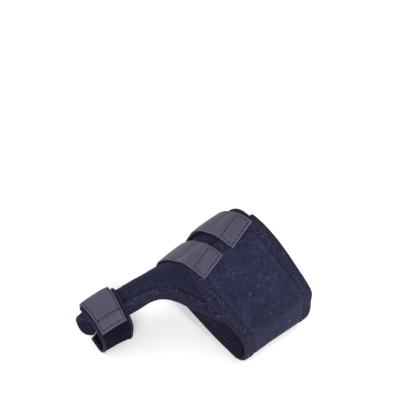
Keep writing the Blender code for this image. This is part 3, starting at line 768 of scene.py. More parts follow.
def two_sided(name, outer, inner, faces, finishes, uv, marks):
    """A closed sheet from the points of its outer and inner side, which meet at its rims.

    faces are those of the outer side. The last finish is on the inner side. marks are values that
    the finishes read.
    """
    points = np.concatenate([outer.reshape(-1, 3), inner.reshape(-1, 3)])
    faces = np.vstack([faces, faces[:, ::-1] + len(points) // 2])
    if signed_volume(points, faces) < 0:
        faces = faces[:, ::-1]
    mesh = bpy.data.meshes.new(name)
    mesh.from_pydata(points, [], faces)
    corner = np.zeros(len(mesh.loops), int)
    mesh.loops.foreach_get("vertex_index", corner)
    lay = np.tile(uv.reshape(-1, 2), (2, 1)).astype(np.float32)
    mesh.uv_layers.new(name="lay").data.foreach_set("uv", lay[corner].ravel())
    for mark_name, values in marks.items():
        values = np.tile(values.ravel(), 2).astype(np.float32)
        mesh.attributes.new(mark_name, "FLOAT", "POINT").data.foreach_set("value", values)
    for finish in finishes:
        mesh.materials.append(finish)
    side = np.repeat([0, len(finishes) - 1], len(faces) // 2)
    mesh.polygons.foreach_set("material_index", side.astype(np.int32))
    cleaned(mesh, close_rims)
    return riding(name, mesh)


def thick_sheet(name, middle, normal, half, finish, uv, marks):
    """A grid of points moved both ways along the normals by half the sheet's thickness."""
    step = normal * half[..., None]
    faces = grid_faces(np.arange(half.size).reshape(half.shape))
    return two_sided(name, middle + step, middle - step, faces, [finish], uv, marks)


def stand_for(node):
    """Puts a piece in the place of a solid, in that solid's material slot."""
    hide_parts(node)


def near_line(along, girth, line):
    """Distance in (along, girth) from each place to the nearest point of a line."""
    places = np.stack([along.ravel(), girth.ravel()], axis=1)
    nearest = np.full(len(places), np.inf)
    for piece in np.array_split(line, max(1, len(line) // 40)):
        away = places[:, None, :] - piece[None, :, :]
        nearest = np.minimum(nearest, (away * away).sum(axis=2).min(axis=1))
    return np.sqrt(nearest).reshape(along.shape)


def panel_lines(length, cell):
    """Shares of a length, close at both rims and even between them."""
    return lines_between(length, cell, (0.0, 0.0004)) / length


def build_panel():
    """The band and the arm as one sheet: two grids that share the line where the arm is rooted.

    The outer side stands at the middle surface's lift plus half the thickness plus the waves, the
    inner side at the lift minus half the thickness. The thickness closes at the rim, inside the tape.
    """
    root_lines = panel_lines(ARM_ROOT_SHARE * BAND_ROUND, ROOT_CELL) * ARM_ROOT_SHARE
    rest_lines = panel_lines((1.0 - ARM_ROOT_SHARE) * BAND_ROUND, CELL) * (1 - ARM_ROOT_SHARE)
    share = np.concatenate([root_lines, ARM_ROOT_SHARE + rest_lines[1:]])
    share_grid, across_grid = np.meshgrid(share, panel_lines(BAND_ACROSS, CELL), indexing="ij")
    rear, front = band_edges(share_grid)
    band_along = rear + across_grid * (front - rear)
    band_side = band_girth(share_grid, band_along)
    reach = np.linspace(0.0, 1.0, ARM_LINES)
    arm_across, reach_grid = np.meshgrid(root_lines / ARM_ROOT_SHARE, reach, indexing="ij")
    arm_along, arm_side = arm_place(reach_grid, arm_across)

    begin_rear, begin_front = band_edges(0.0)
    begin_along = begin_rear + np.linspace(0.0, 1.0, BEGIN_POINTS) * (begin_front - begin_rear)
    begin_line = np.stack([begin_along, band_girth(0.0, begin_along)], axis=1)
    near_root = FRONT_EDGE[:, 2] < ARM_ROOT_SHARE + ROOT_LINE_SHARE
    boundary = np.vstack([FRONT_EDGE[near_root][:, :2], begin_line])
    by_line = near_line(band_along, band_side, boundary)
    by_front = np.where(share_grid > ARM_ROOT_SHARE + FRONT_INSET_FROM, front - band_along, np.inf)
    by_end = band_girth(1.0, band_along) - band_side
    band_inset = np.minimum.reduce([band_along - rear, by_line, by_front, by_end])
    arm_inset = near_line(arm_along, arm_side, boundary)
    edge_inset = np.minimum(band_along - rear, np.where(share_grid > ARM_ROOT_SHARE, by_front, by_line))
    band_middle = band_lift(share_grid, np.minimum(edge_inset, by_line))
    arm_middle = PANEL_LIFT + pocket_lift(arm_along, arm_side)

    count = band_along.size
    band_index = np.arange(count).reshape(band_along.shape)
    arm_index = np.empty(arm_along.shape, int)
    arm_index[:, 0] = band_index[: len(root_lines), -1]
    arm_index[:, 1:] = count + np.arange(arm_along[:, 1:].size).reshape(arm_along[:, 1:].shape)

    def joined(band, arm):
        return np.concatenate([band.ravel(), arm[:, 1:].ravel()])

    along, girth = joined(band_along, arm_along), joined(band_side, arm_side)
    inset = joined(band_inset, arm_inset)
    middle = joined(band_middle, arm_middle)
    flat = 1.0 - SOLE_FLATNESS * joined(on_sole(share_grid), 0 * arm_along)
    # on_arm also sets where the cloth material paints shade over the arm and along its crease.
    on_arm = joined(0 * band_along, ease(reach_grid / ARM_FINISH_FROM))
    half = half_thickness(inset)
    outer_half = PANEL_THICKNESS / 2 + (half - PANEL_THICKNESS / 2) * np.where(inset > TAPE_WIDTH, flat, 1.0)
    waves = ease((inset - WAVES_FROM) / WAVES_FADE) * flat * sum(
        height * lattice_noise(along, girth, size, seed) for seed, (height, size) in enumerate(CLOTH_WAVES, 1))
    waves = waves - ARM_GROOVE * on_arm * hump(inset, TAPE_WIDTH + GROOVE_OUT, GROOVE_REACH)
    waves = waves + ARM_SWELL * on_arm * ease((inset - TAPE_WIDTH) / ARM_SWELL_REACH)
    rim = np.zeros(len(along), bool)
    rim[band_index[0]] = rim[band_index[-1]] = rim[band_index[:, 0]] = True
    rim[band_index[len(root_lines) - 1 :, -1]] = True
    rim[arm_index[0]] = rim[arm_index[-1]] = rim[arm_index[:, -1]] = True
    outer_half[rim] = half[rim] = waves[rim] = 0.0
    outer = draped(along, girth, middle + outer_half + waves)
    inner = draped(along, girth, middle - half + WAVES_INSIDE * waves)
    faces = np.vstack([grid_faces(band_index), grid_faces(arm_index)])
    # inset and arm set where loop_cloth paints its highlight along the swell and its shade at the crease and on
    # the arm.
    panel = two_sided("wrap_panel_cloth", outer, inner, faces, [loop_cloth(), lining()],
                      np.stack([girth, along], axis=1), {"inset": inset, "arm": on_arm})
    stand_for("wrap_panel")


def folded_profile(width, half_of, thickness):
    """Section of a folded tape, from leg to leg: inset from the edge, rise above the sheet's middle.

    Each leg follows the sheet's own half thickness; the fold between them is half an ellipse.
    """
    inset = width - lines_between(width, TAPE_CELL, (0.0, 0.00008, 0.00022, 0.00045))[:-5]
    rise = half_of(inset) + thickness / 2 + TAPE_STAND_OFF
    turn = np.linspace(np.pi / 2, -np.pi / 2, 11)
    depth = inset[-1] + rise[-1] * FOLD_ROUNDNESS
    fold = np.stack([inset[-1] - np.cos(turn) * depth, np.sin(turn) * rise[-1]], axis=1)[1:-1]
    top = np.stack([inset, rise], axis=1)
    bottom = np.stack([inset, -rise], axis=1)[::-1]
    return np.vstack([top, fold, bottom])


def stitch_pitch():
    """Distance from stitch to stitch on the panel's tapes, as the sidebar has it."""
    return round(bpy.context.scene.splint_sizes.stitch_pitch, 6)


def tape_pucker(way, inset, width):
    """Height of the tape between its stitches: it puffs between them and dips at each needle hole."""
    if width == LOOP_TAPE_WIDTH:
        return 0.00006 * np.cos(2 * np.pi * way / 0.0026)
    beat = np.cos(2 * np.pi * way / stitch_pitch())
    near = sum(hump(inset, row, 0.0009) for row in STITCH_ROWS)
    slow = lattice_noise(way, inset, 0.006, 7)
    return TAPE_PUCKER * (beat * near + slow * ease(inset / 0.002))


def build_tape(node, spot, steps, width, half_of, thickness, length=None):
    """Tape folded over an edge: the profile carried along the edge's points, thickened both ways.

    spot(i, inset) gives along, girth and lift of the sheet's middle; the thickness closes at the
    legs' rims and at both ends.
    """
    profile = folded_profile(width, half_of, thickness)
    i, k = np.meshgrid(np.arange(steps), np.arange(len(profile)), indexing="ij")
    inset, rise = profile[k, 0], profile[k, 1]
    along, girth, lift = spot(i, inset)
    middle = draped(along, girth, lift + rise)
    walk, way = walked(profile), walked(middle[:, 0])
    to_rim = np.minimum.reduce([walk[k], walk[-1] - walk[k], way[i], way[-1] - way[i]])
    normal = surface_normals(middle)
    halfway = len(i) // 2, 0
    outward = normal * np.sign(normal[halfway] @ form_normal(along[halfway], girth[halfway]))
    pucker = np.where((to_rim > 0.0004) & (rise != 0.0), tape_pucker(way[i], inset, width), 0.0)
    piece = thick_sheet(node + "_tape", middle + outward * pucker[..., None], normal,
                        rounded_half(to_rim, thickness, TAPE_CUT_EDGE), binding_tape(),
                        np.stack([way[i], walk[k]], axis=-1), {"inset": np.abs(inset)})
    stand_for(node)
    return piece


def stitch_mesh(rows, stitch, seed):
    """Points and faces of many stitches along rows of (points, normals).

    Each stitch is a thread of seven rings round an arch: x runs from -1 to 1 along it, its middle
    stands at 1.3 radius (1 - x^2) less what it sinks in, and its radius falls as sqrt(1 - x^4) to a
    pole at either end. Pitch, length and turn vary a little from stitch to stitch.
    """
    pitch, length, radius = stitch
    rng = np.random.default_rng(seed)
    sunk = THREAD_SINK * radius
    centre, forward, upward = [], [], []
    for points, normals in rows:
        way = walked(points)
        count = max(1, int(way[-1] / pitch))
        at = (np.arange(count) + 0.5) * way[-1] / count
        at = at + rng.uniform(-0.04, 0.04, count) * pitch

        def read(values, where, way=way):
            return np.stack([np.interp(where, way, column) for column in values.T], axis=1)

        centre.append(read(points, at))
        ahead = read(points, at + pitch / 3) - read(points, at - pitch / 3)
        forward.append(ahead / np.linalg.norm(ahead, axis=1, keepdims=True))
        up = read(normals, at)
        upward.append(up / np.linalg.norm(up, axis=1, keepdims=True))
    centre, forward, upward = (np.concatenate(part) for part in (centre, forward, upward))
    aside = np.cross(upward, forward)
    turn = rng.normal(0.0, 0.05, len(centre))[:, None]
    forward = forward * np.cos(turn) + aside * np.sin(turn)
    aside = np.cross(upward, forward)
    long = length * rng.uniform(0.93, 1.05, len(centre))
    x = np.array([-0.96, -0.75, -0.35, 0.0, 0.35, 0.75, 0.96])
    angle = np.arange(6) / 6 * 2 * np.pi
    wide = radius * np.sqrt(1.0 - x**4)
    rise = radius * 1.3 * (1.0 - x**2) - sunk
    ring_along = np.repeat(x / 2, 6)
    ring_aside = (wide[:, None] * np.cos(angle)).ravel()
    ring_up = (rise[:, None] + wide[:, None] * np.sin(angle)).ravel()
    ends = np.array([[-0.5, 0.0, -sunk], [0.5, 0.0, -sunk]])
    shape = np.vstack([np.stack([ring_along, ring_aside, ring_up], axis=1), ends])
    points = (
        centre[:, None]
        + forward[:, None] * (shape[None, :, :1] * long[:, None, None])
        + aside[:, None] * shape[None, :, 1:2]
        + upward[:, None] * shape[None, :, 2:]
    )
    ring = np.arange(42).reshape(7, 6)
    after = np.roll(ring, -1, 1)
    quads = np.stack([ring[:-1], after[:-1], after[1:], ring[1:]], -1).reshape(-1, 4)
    start = np.stack([0 * ring[0] + 42, after[0], ring[0], ring[0]], axis=1)
    stop = np.stack([0 * ring[0] + 43, ring[-1], after[-1], after[-1]], axis=1)
    base = np.vstack([quads, start, stop])
    faces = (base[None] + len(shape) * np.arange(len(centre))[:, None, None]).reshape(-1, 4)
    return points.reshape(-1, 3), faces


def thread_piece(name, rows, seed, stitch):
    """One object of thread for all the rows of stitches in one piece."""
    points, faces = stitch_mesh(rows, stitch, seed)
    mesh = bpy.data.meshes.new(name)
    mesh.from_pydata(points, [], [face[:3] if face[2] == face[3] else face for face in faces.tolist()])
    mesh.materials.append(thread())
    cleaned(mesh, face_outwards)
    piece = riding(name, mesh)
    return piece


def tape_stitches(name, spot, places, seed, side=1.0):
    """Both rows of stitches on a folded tape, at its outer (side 1) or inner (side -1) face."""
    rows = []
    for inset in STITCH_ROWS:
        along, girth, lift = spot(places, 0.0 * places + inset)
        rise = half_thickness(np.array(inset)) + TAPE_THICKNESS
        points, normals = row_on(along, girth, lift + side * rise)
        rows.append((points, side * normals))
    radius = round(bpy.context.scene.splint_sizes.thread_radius, 6)
    thread_piece(name, rows, seed, Stitch(stitch_pitch(), STITCH_LENGTH, radius))


def row_on(along, girth, lift):
    """A row for stitches: points at a lift and the form's normals there."""
    along, girth, lift = np.broadcast_arrays(along, girth, lift)
    return draped(along, girth, lift), form_normal(along, girth)


def rim_mark(to_edge):
    """1 at a strap's cut edge, falling to 0 at STRAP_RIM from it."""
    return np.clip(1 - to_edge / STRAP_RIM, 0, 1)


def strap_press(run):
    """How far an instep strap's sewn end is pressed down, by the distance from that end."""
    return STRAP_PRESS * ease((SEWN_LENGTH + 0.004 - run) / 0.004)


def build_strap(name, seat, seed):
    """Instep strap: a grid of run by aside, narrowed at its free end by the rounded corners."""
    run_lines = lines_between(STRAP_LENGTH, STRAP_RUN_CELL)
    aside_lines = lines_between(STRAP_WIDTH, STRAP_CELL) - STRAP_WIDTH / 2
    run, aside = np.meshgrid(run_lines, aside_lines, indexing="ij")
    share = aside / (STRAP_WIDTH / 2)
    ahead = np.clip((run - (STRAP_LENGTH - STRAP_CORNER)) / STRAP_CORNER, 0.0, 1.0)
    width = STRAP_WIDTH / 2 - STRAP_CORNER * round_off(ahead * 0.999)
    aside = share * width
    to_edge = np.minimum(np.minimum(run, STRAP_LENGTH - run), width - np.abs(aside))
    past_seam = run - SEWN_LENGTH
    seam = hump(run, SEWN_LENGTH, BOX_REACH) + hump(run, SEAM_INSET, SEAM_REACH)
    seam = seam + np.where(past_seam < 0.0005, hump(to_edge, SEAM_INSET, SEAM_REACH), 0.0)
    seam = np.clip(seam, 0, 1)
    pillow = STRAP_PILLOW * ease(run / PILLOW_EDGE) * ease(-past_seam / PILLOW_FADE) * ease(to_edge / PILLOW_EDGE)
    waves = STRAP_WAVES.height * lattice_noise(run, aside + 0.1 * seed, STRAP_WAVES.size, seed)
    waves = waves * ease(past_seam / 0.006)
    crease = STRAP_CREASES.height * lattice_noise(run, aside, STRAP_CREASES.size, seed + 5)
    crease = crease * ease(past_seam / 0.004)
    curl = -STRAP_CURL * share**2 * ease(past_seam / 0.02)
    along, girth, lift = strap_place(seat, run, aside)
    relief = pillow + waves + crease + curl - STRAP_SEAM_DEPTH * seam
    middle = draped(along, girth, lift - strap_press(run) + relief)
    piece = thick_sheet(name + "_cloth", middle, surface_normals(middle),
                        rounded_half(to_edge, STRAP_THICKNESS), strap_cloth(), np.stack([run, aside], axis=-1),
                        {"rim": rim_mark(to_edge), "seam": seam})
    stand_for(name)

    def row(run_from, run_to, aside_from, aside_to):
        at_run, at_aside = np.linspace((run_from, aside_from), (run_to, aside_to), 60).T
        along, girth, lift = strap_place(seat, at_run, at_aside)
        return row_on(along, girth, lift + STRAP_THICKNESS / 2 - strap_press(at_run) - STRAP_SEAM_DEPTH)

    edge = STRAP_WIDTH / 2 - SEAM_INSET
    box_from, box_to = SEAM_INSET + 0.001, SEWN_LENGTH - 0.001
    rows = [
        row(SEWN_LENGTH, SEWN_LENGTH, -edge, edge),
        row(SEAM_INSET, SEAM_INSET, -edge, edge),
        row(box_from, box_to, edge, edge),
        row(box_from, box_to, -edge, -edge),
    ]
    thread_piece(name + "_stitches", rows, seed, STRAP_STITCH)


def loop_half(inset):
    """Half the toe loop's cloth, a little thinner under its own tape."""
    return LOOP_THICKNESS / 2 - 0.00008 * ease(1.0 - inset / 0.004)


def build_toe_loop():
    """The loop's cloth: a grid round the toe, with waves across where it is pulled tight."""
    share_lines = lines_between(1.0, LOOP_SHARE_CELL, LOOP_SHARE_RIM)
    wide_lines = lines_between(LOOP_WIDTH, STRAP_CELL) / LOOP_WIDTH
    share, across = np.meshgrid(share_lines, wide_lines, indexing="ij")
    rear, front = loop_edges(share)
    along, girth, lift = loop_place(share, rear + across * (front - rear))
    from_edge = np.minimum(along - rear, front - along)
    half = rounded_half(np.minimum(from_edge, np.minimum(share, 1 - share) * LOOP_ROUND), LOOP_THICKNESS)
    pulled = np.sin(along / LOOP_PULL_EVERY + 2.0 * np.sin(girth / 0.012)) * ease(from_edge / 0.004)
    pulled = pulled * ease((share - LOOP_PULL_FROM) / 0.2) * ease((LOOP_PULL_TO - share) / 0.1)
    middle = draped(along, girth, lift + LOOP_PULL * pulled)
    piece = thick_sheet("toe_loop_cloth", middle, surface_normals(middle), half, loop_knit(),
                        np.stack([girth, along], axis=-1), {})
    stand_for("toe_loop")
    return piece


def build_loop_tape(name, side, seed):
    """Tape and stitches on the toe loop's rear (side 0) or front (side 1) edge."""
    share = np.linspace(0.0, 1.0, 150)

    def spot(i, inset):
        edge = loop_edges(share[i])[side]
        return loop_place(share[i], edge + (inset if side == 0 else -inset))

    tape = build_tape(name, spot, len(share), LOOP_TAPE_WIDTH, loop_half, LOOP_TAPE_THICKNESS)
    along, girth, lift = spot(np.arange(len(share)), LOOP_TAPE_WIDTH / 2)
    rise = LOOP_THICKNESS / 2 + LOOP_TAPE_THICKNESS
    rows = []
    for face in (1.0, -1.0):
        points, normals = row_on(along, girth, lift + face * rise)
        rows.append((points, face * normals))
    return tape, thread_piece(name + "_stitches", rows, seed, LOOP_STITCH)


def toe_strap_points(run, across, lift=0.0):
    """Points of the toe strap's middle surface at a run from its sewn end and a share across, and its
    width there."""
    past_crest = run - TOE_STRAP_END_GIRTH
    turn = perimeter(0.0 * run + LOOP_FRONT)
    start = ARM_TOP_GIRTH + ARM_WIDTH + SOLID_TAPE_PROUD + SEAM_GAP
    way = (turn + past_crest - start) / (turn + FOLD_GIRTH - start)
    rear, front = loop_edges(np.clip(way, 0.0, 1.0))
    inset = LOOP_TAPE_WIDTH + SEAM_GAP
    wide = front - rear - 2 * inset
    along = rear + inset + across * wide
    return draped(along, past_crest, loop_lift(along, past_crest) + STRAP_ON_LOOP + lift), wide


def build_toe_strap():
    """Strap over the toe loop, from its sewn end on the outer side over the fold and down the arm.

    It is drawn in along both long edges, at its end and at the box's line.
    """
    to_fold = TOE_STRAP_END_GIRTH + FOLD_GIRTH
    length = to_fold + TOE_STRAP_TAIL
    head = lines_between(to_fold, TOE_STRAP_CELL)[:-4]
    tail = to_fold + lines_between(TOE_STRAP_TAIL, STRAP_CELL)[4:]
    run_lines = np.concatenate([head, [to_fold - 0.0003, to_fold, to_fold + 0.0003], tail])
    across_lines = lines_between(TOE_STRAP_ACROSS, TOE_STRAP_CELL) / TOE_STRAP_ACROSS
    run, across = np.meshgrid(run_lines, across_lines, indexing="ij")
    middle, wide = toe_strap_points(run, across)
    to_side = np.minimum(across, 1 - across) * wide
    to_edge = np.minimum.reduce([run, length - run, to_side])
    seam = hump(to_side, TOE_SEAM_INSET, SEAM_REACH) + hump(run, TOE_SEAM_INSET, SEAM_REACH)
    seam = np.clip(seam + hump(run, TOE_BOX, BOX_REACH), 0.0, 1.0)
    normal = surface_normals(middle)
    waves = TOE_WAVES.height * lattice_noise(run, across * wide, TOE_WAVES.size, 21)
    piece = thick_sheet("toe_strap_cloth", middle + normal * (waves - TOE_SEAM_DEPTH * seam)[..., None], normal,
                        rounded_half(to_edge, TOE_STRAP_THICKNESS), strap_cloth(),
                        np.stack([run, across * wide], axis=-1),
                        {"rim": rim_mark(to_edge), "seam": seam})
    stand_for("toe_strap")
    top = TOE_STRAP_THICKNESS / 2 - TOE_STITCH_DEPTH

    def row(run_from, run_to, from_side, to_side):
        at, where = np.linspace((run_from, from_side), (run_to, to_side), 60).T
        points, _ = toe_strap_points(at, where, top)
        above, _ = toe_strap_points(at, where, top + 0.001)
        return points, (above - points) * 1000

    near = TOE_SEAM_INSET / wide.mean()
    far = 1 - near
    rows = [
        row(TOE_SEAM_INSET, TOE_SEAM_INSET, near, far),
        row(TOE_BOX, TOE_BOX, near, far),
        row(TOE_SEAM_INSET, to_fold - 0.0012, near, near),
        row(TOE_SEAM_INSET, to_fold - 0.0012, far, far),
    ]
    thread_piece("toe_strap_stitches", rows, 31, TOE_STITCH)


def put(tree, kind, inputs=None, **settings):
    """A shader node with its settings, and its inputs as numbers, colours or sockets to link."""
    made = tree.nodes.new("ShaderNode" + kind)
    for name, value in settings.items():
        setattr(made, name, value)
    for name, value in (inputs or {}).items():
        socket = made.inputs[name]
        if isinstance(value, bpy.types.NodeSocket):
            tree.links.new(value, socket)
        else:
            socket.default_value = value
    return made


def reckon(tree, operation, first, second=0.0, third=0.0):
    """Output of a Math node."""
    return put(tree, "Math", {0: first, 1: second, 2: third}, operation=operation).outputs[0]


def away_from(tree, value, middle):
    """Distance of a value from a middle one."""
    return reckon(tree, "ABSOLUTE", reckon(tree, "SUBTRACT", value, middle))


def ramp(tree, value, low, high, to_low=0.0, to_high=1.0):
    """A value's share between low and high, clamped and eased."""
    inputs = {"Value": value, "From Min": low, "From Max": high, "To Min": to_low, "To Max": to_high}
    return put(tree, "MapRange", inputs, interpolation_type="SMOOTHSTEP").outputs[0]


def mixed(tree, share, first, second):
    """Colour output of a Mix node."""
    return put(tree, "Mix", {0: share, 6: first, 7: second}, data_type="RGBA").outputs[2]


def laid_over(tree, tone, *layers):
    """A colour with others laid over it in turn, each by its share."""
    for share, over in layers:
        tone = mixed(tree, share, tone, over)
    return tone


def noise(tree, vector, size, detail=3.0, rough=0.55, distortion=0.0):
    """Noise whose largest features are about size metres."""
    inputs = {"Vector": vector, "Scale": 1.0 / size, "Detail": detail}
    inputs |= {"Roughness": rough, "Distortion": distortion}
    return put(tree, "TexNoise", inputs).outputs["Fac"]


def node_group(name, inputs, outputs, fill):
    """A shader node group, built once. inputs are (name, kind, default), and the outputs are values."""
    made = bpy.data.node_groups.get(name)
    if made:
        return made
    made = bpy.data.node_groups.new(name, "ShaderNodeTree")
    for label, kind, default in inputs:
        socket = made.interface.new_socket(label, in_out="INPUT", socket_type="NodeSocket" + kind)
        if default is not None:
            socket.default_value = default
    for label in outputs:
        made.interface.new_socket(label, in_out="OUTPUT", socket_type="NodeSocketFloat")
    source = made.nodes.new("NodeGroupInput").outputs
    sink = made.nodes.new("NodeGroupOutput").inputs
    for label, value in fill(made, source).items():
        made.links.new(value, sink[label])
    return made


def pile_group():
    """Brushed pile: soft blotches, short matted strokes, single pale fibres and a height."""

    def fill(tree, source):
        place = source["Vector"]
        blotch = noise(tree, place, 0.016, 4.0, 0.6, 0.4)
        bend = put(tree, "TexNoise", {"Vector": place, "Scale": 260.0, "Detail": 2.0})
        offset = put(tree, "VectorMath", {0: bend.outputs["Color"], 1: (0.5, 0.5, 0.5)}, operation="SUBTRACT")
        offset = put(tree, "VectorMath", {0: offset.outputs[0], "Scale": 0.0042}, operation="SCALE")
        swirled = put(tree, "VectorMath", {0: place, 1: offset.outputs[0]}, operation="ADD").outputs[0]
        stroke = noise(tree, swirled, 0.0017, 5.0, 0.65, 0.8)
        fine = noise(tree, swirled, 0.00045, 3.0, 0.6, 0.6)
        cells = put(tree, "TexVoronoi", {"Vector": swirled, "Scale": 420.0}, feature="F1").outputs
        cell_seed = put(tree, "SeparateColor", {0: cells["Color"]}).outputs[0]
        near = ramp(tree, cells["Distance"], 0.34, 0.10)
        lint = reckon(tree, "MULTIPLY", near, ramp(tree, cell_seed, 0.955, 0.975))
        lint = reckon(tree, "MULTIPLY", lint, ramp(tree, fine, 0.50, 0.62))
        height = reckon(tree, "MULTIPLY_ADD", fine, 0.45, stroke)
        return {"Blotch": blotch, "Stroke": stroke, "Fine": fine, "Lint": lint, "Height": height}

    outputs = ["Blotch", "Stroke", "Fine", "Lint", "Height"]
    return node_group("pile", [("Vector", "Vector", None)], outputs, fill)


def weave_group():
    """Fine woven ribs along the first lay coordinate, crossed by threads: a product of two sines."""

    def fill(tree, source):
        parts = put(tree, "SeparateXYZ", {0: source["Vector"]}).outputs
        turns = reckon(tree, "DIVIDE", 2 * math.pi, source["Pitch"])
        first, second = (reckon(tree, "SINE", reckon(tree, "MULTIPLY", parts[k], turns)) for k in range(2))
        return {"Height": reckon(tree, "MULTIPLY_ADD", reckon(tree, "MULTIPLY", first, second), 0.5, 0.5)}

    return node_group("weave", [("Vector", "Vector", None), ("Pitch", "Float", 0.0006)], ["Height"], fill)


def finish_tree(name):
    """A new material, its tree, its Principled shader and the socket of Object coordinates."""
    made = bpy.data.materials.new(name)
    made.use_nodes = True
    tree = made.node_tree
    return made, tree, tree.nodes["Principled BSDF"], put(tree, "TexCoord").outputs["Object"]


def pile(tree, place):
    """Outputs of the brushed pile at a place."""
    return put(tree, "Group", {"Vector": place}, node_tree=pile_group()).outputs


def ribs(tree, pitch):
    """Height of woven ribs at that pitch, which follow the cloth."""
    lay = put(tree, "UVMap", uv_map="lay").outputs[0]
    return put(tree, "Group", {"Vector": lay, "Pitch": pitch}, node_tree=weave_group()).outputs["Height"]


def mark(tree, name):
    """The value that a mesh carries under that name."""
    return put(tree, "Attribute", attribute_name=name).outputs["Fac"]


def mottled(tree, blotch, base, dark, light, reach=0.20):
    """A colour between a darker and a lighter one of its own."""
    return mixed(tree, ramp(tree, blotch, 0.5 - reach, 0.5 + reach), scaled(base, dark), scaled(base, light))


def bump(tree, shader, height, strength, distance):
    """Feeds a height in metres times distance to the shader's normal."""
    made = put(tree, "Bump", {"Height": height, "Strength": strength, "Distance": distance})
    tree.links.new(made.outputs[0], shader.inputs["Normal"])


def set_inputs(tree, shader, tone, **values):
    """The colour and the plain values on the shader's own sockets; a name's underscores are spaces."""
    tree.links.new(tone, shader.inputs["Base Color"])
    for name, value in values.items():
        shader.inputs[name.replace("_", " ")].default_value = value


def once(build):
    """Keeps the material that a function makes, so that pieces share it."""
    kept = []

    def give():
        if not kept:
            kept.append(build())
        return kept[0]

    give.__doc__ = build.__doc__
    return give


def colour(name):
    """A colour of the splint's settings, with full alpha."""
    return (*getattr(bpy.context.scene.splint_colours, name), 1.0)


def scaled(tone, factor):
    """A colour darkened or lightened."""
    return (*(min(1.0, part * factor) for part in tone[:3]), 1.0)


@once
def loop_cloth():
    """Dark navy brushed cloth: blotches, matted strokes, lint, and a bluer swell beside the tape."""
    made, tree, shader, place = finish_tree("loop_cloth")
    out = pile(tree, place)
    base, light = colour("cloth"), colour("cloth_light")
    inset, arm = mark(tree, "inset"), mark(tree, "arm")
    # Painted shade: a dark line just inside the tape's edge, where the cloth creases, stronger on the arm.
    crease = ramp(tree, away_from(tree, inset, TAPE_WIDTH + 0.0004), 0.0012, 0.0002)
    tone = laid_over(
        tree, mottled(tree, out["Blotch"], base, 0.72, 1.22, 0.18),
        (ramp(tree, out["Stroke"], 0.60, 0.36, 0.0, 0.75), scaled(base, 0.36)),
        (ramp(tree, out["Stroke"], 0.56, 0.72, 0.0, 0.60), light),
        (ramp(tree, out["Fine"], 0.58, 0.74, 0.0, 0.35), light),
        # Painted highlight along the top of the swell beside the tape.
        (ramp(tree, away_from(tree, inset, SWELL_TOP), 0.0022, 0.0, 0.0, 0.12), light),
        (reckon(tree, "MULTIPLY", crease, reckon(tree, "MULTIPLY_ADD", arm, 0.45, 0.30)), scaled(base, 0.25)),
        # Painted shade: the arm's cloth darker all over than the band's.
        (reckon(tree, "MULTIPLY", arm, 0.52), scaled(base, 0.30)),
        (out["Lint"], colour("lint")),
    )
    set_inputs(tree, shader, tone, Roughness=0.95, Sheen_Weight=0.05, Sheen_Roughness=0.5,
               Sheen_Tint=colour("cloth_sheen"), Specular_IOR_Level=0.07)
    bump(tree, shader, out["Height"], 0.75, 0.0011)
    return made


@once
def lining():
    """Smoother knit on the side that lies on the skin: fine ribs and faint blotches."""
    made, tree, shader, place = finish_tree("lining")
    height = ribs(tree, 0.0011)
    base = colour("lining")
    tone = mottled(tree, pile(tree, place)["Blotch"], base, 0.75, 1.25)
    tone = mixed(tree, ramp(tree, height, 0.2, 0.8, 0.0, 0.35), tone, scaled(base, 0.5))
    set_inputs(tree, shader, tone, Roughness=0.95, Sheen_Weight=0.06, Sheen_Roughness=0.5,
               Specular_IOR_Level=0.12)
    bump(tree, shader, height, 0.5, 0.0003)
    return made


@once
def binding_tape():
    """Woven elastic tape: fine ribs, matted like the cloth near its stitches, warmer at the fold."""
    made, tree, shader, place = finish_tree("binding_tape")
    out, woven = pile(tree, place), ribs(tree, 0.00075)
    base, light, inset = colour("tape"), colour("tape_light"), mark(tree, "inset")
    seam = ramp(tree, away_from(tree, inset, sum(STITCH_ROWS) / 2), 0.0026, 0.0014)
    pulled = ramp(tree, noise(tree, place, 0.0012, 3.0, 0.6, 0.5), 0.50, 0.64, 0.0, 0.75)
    tone = laid_over(
        tree, mottled(tree, out["Blotch"], base, 0.8, 1.2, 0.18),
        (ramp(tree, inset, 0.0022, 0.0, 0.0, 0.5), colour("tape_fold")),
        (ramp(tree, woven, 0.75, 0.15, 0.0, 0.30), scaled(base, 0.45)),
        (ramp(tree, out["Stroke"], 0.58, 0.38, 0.0, 0.55), scaled(base, 0.4)),
        (ramp(tree, out["Fine"], 0.60, 0.74, 0.0, 0.35), light),
        (reckon(tree, "MULTIPLY", seam, pulled), light),
        (out["Lint"], colour("lint")),
    )
    set_inputs(tree, shader, tone, Roughness=0.90, Sheen_Weight=0.05, Sheen_Roughness=0.5,
               Sheen_Tint=colour("cloth_sheen"), Specular_IOR_Level=0.08)
    bump(tree, shader, reckon(tree, "MULTIPLY_ADD", woven, 0.35, out["Height"]), 0.6, 0.0006)
    return made


@once
def strap_cloth():
    """Smooth coated strap: faint mottling, pale cut edge, darker and drawn in along its seams."""
    made, tree, shader, place = finish_tree("strap_cloth")
    out = pile(tree, place)
    base, light = colour("strap"), colour("strap_light")
    tone = laid_over(
        tree, mottled(tree, out["Blotch"], base, 0.90, 1.10),
        (ramp(tree, out["Stroke"], 0.60, 0.42, 0.0, 0.30), scaled(base, 0.6)),
        (ramp(tree, out["Fine"], 0.58, 0.76, 0.0, 0.30), light),
        (ramp(tree, mark(tree, "rim"), 0.35, 0.85, 0.0, 0.38), light),
        (ramp(tree, mark(tree, "seam"), 0.3, 1.0, 0.0, 0.5), scaled(base, 0.35)),
        (reckon(tree, "MULTIPLY", out["Lint"], 0.4), colour("lint")),
    )
    set_inputs(tree, shader, tone, Sheen_Weight=0.04, Sheen_Roughness=0.4, Specular_IOR_Level=0.22)
    tree.links.new(ramp(tree, out["Fine"], 0.3, 0.7, 0.46, 0.60), shader.inputs["Roughness"])
    bump(tree, shader, reckon(tree, "MULTIPLY_ADD", ribs(tree, 0.0005), 0.3, out["Fine"]), 0.35, 0.00022)
    return made


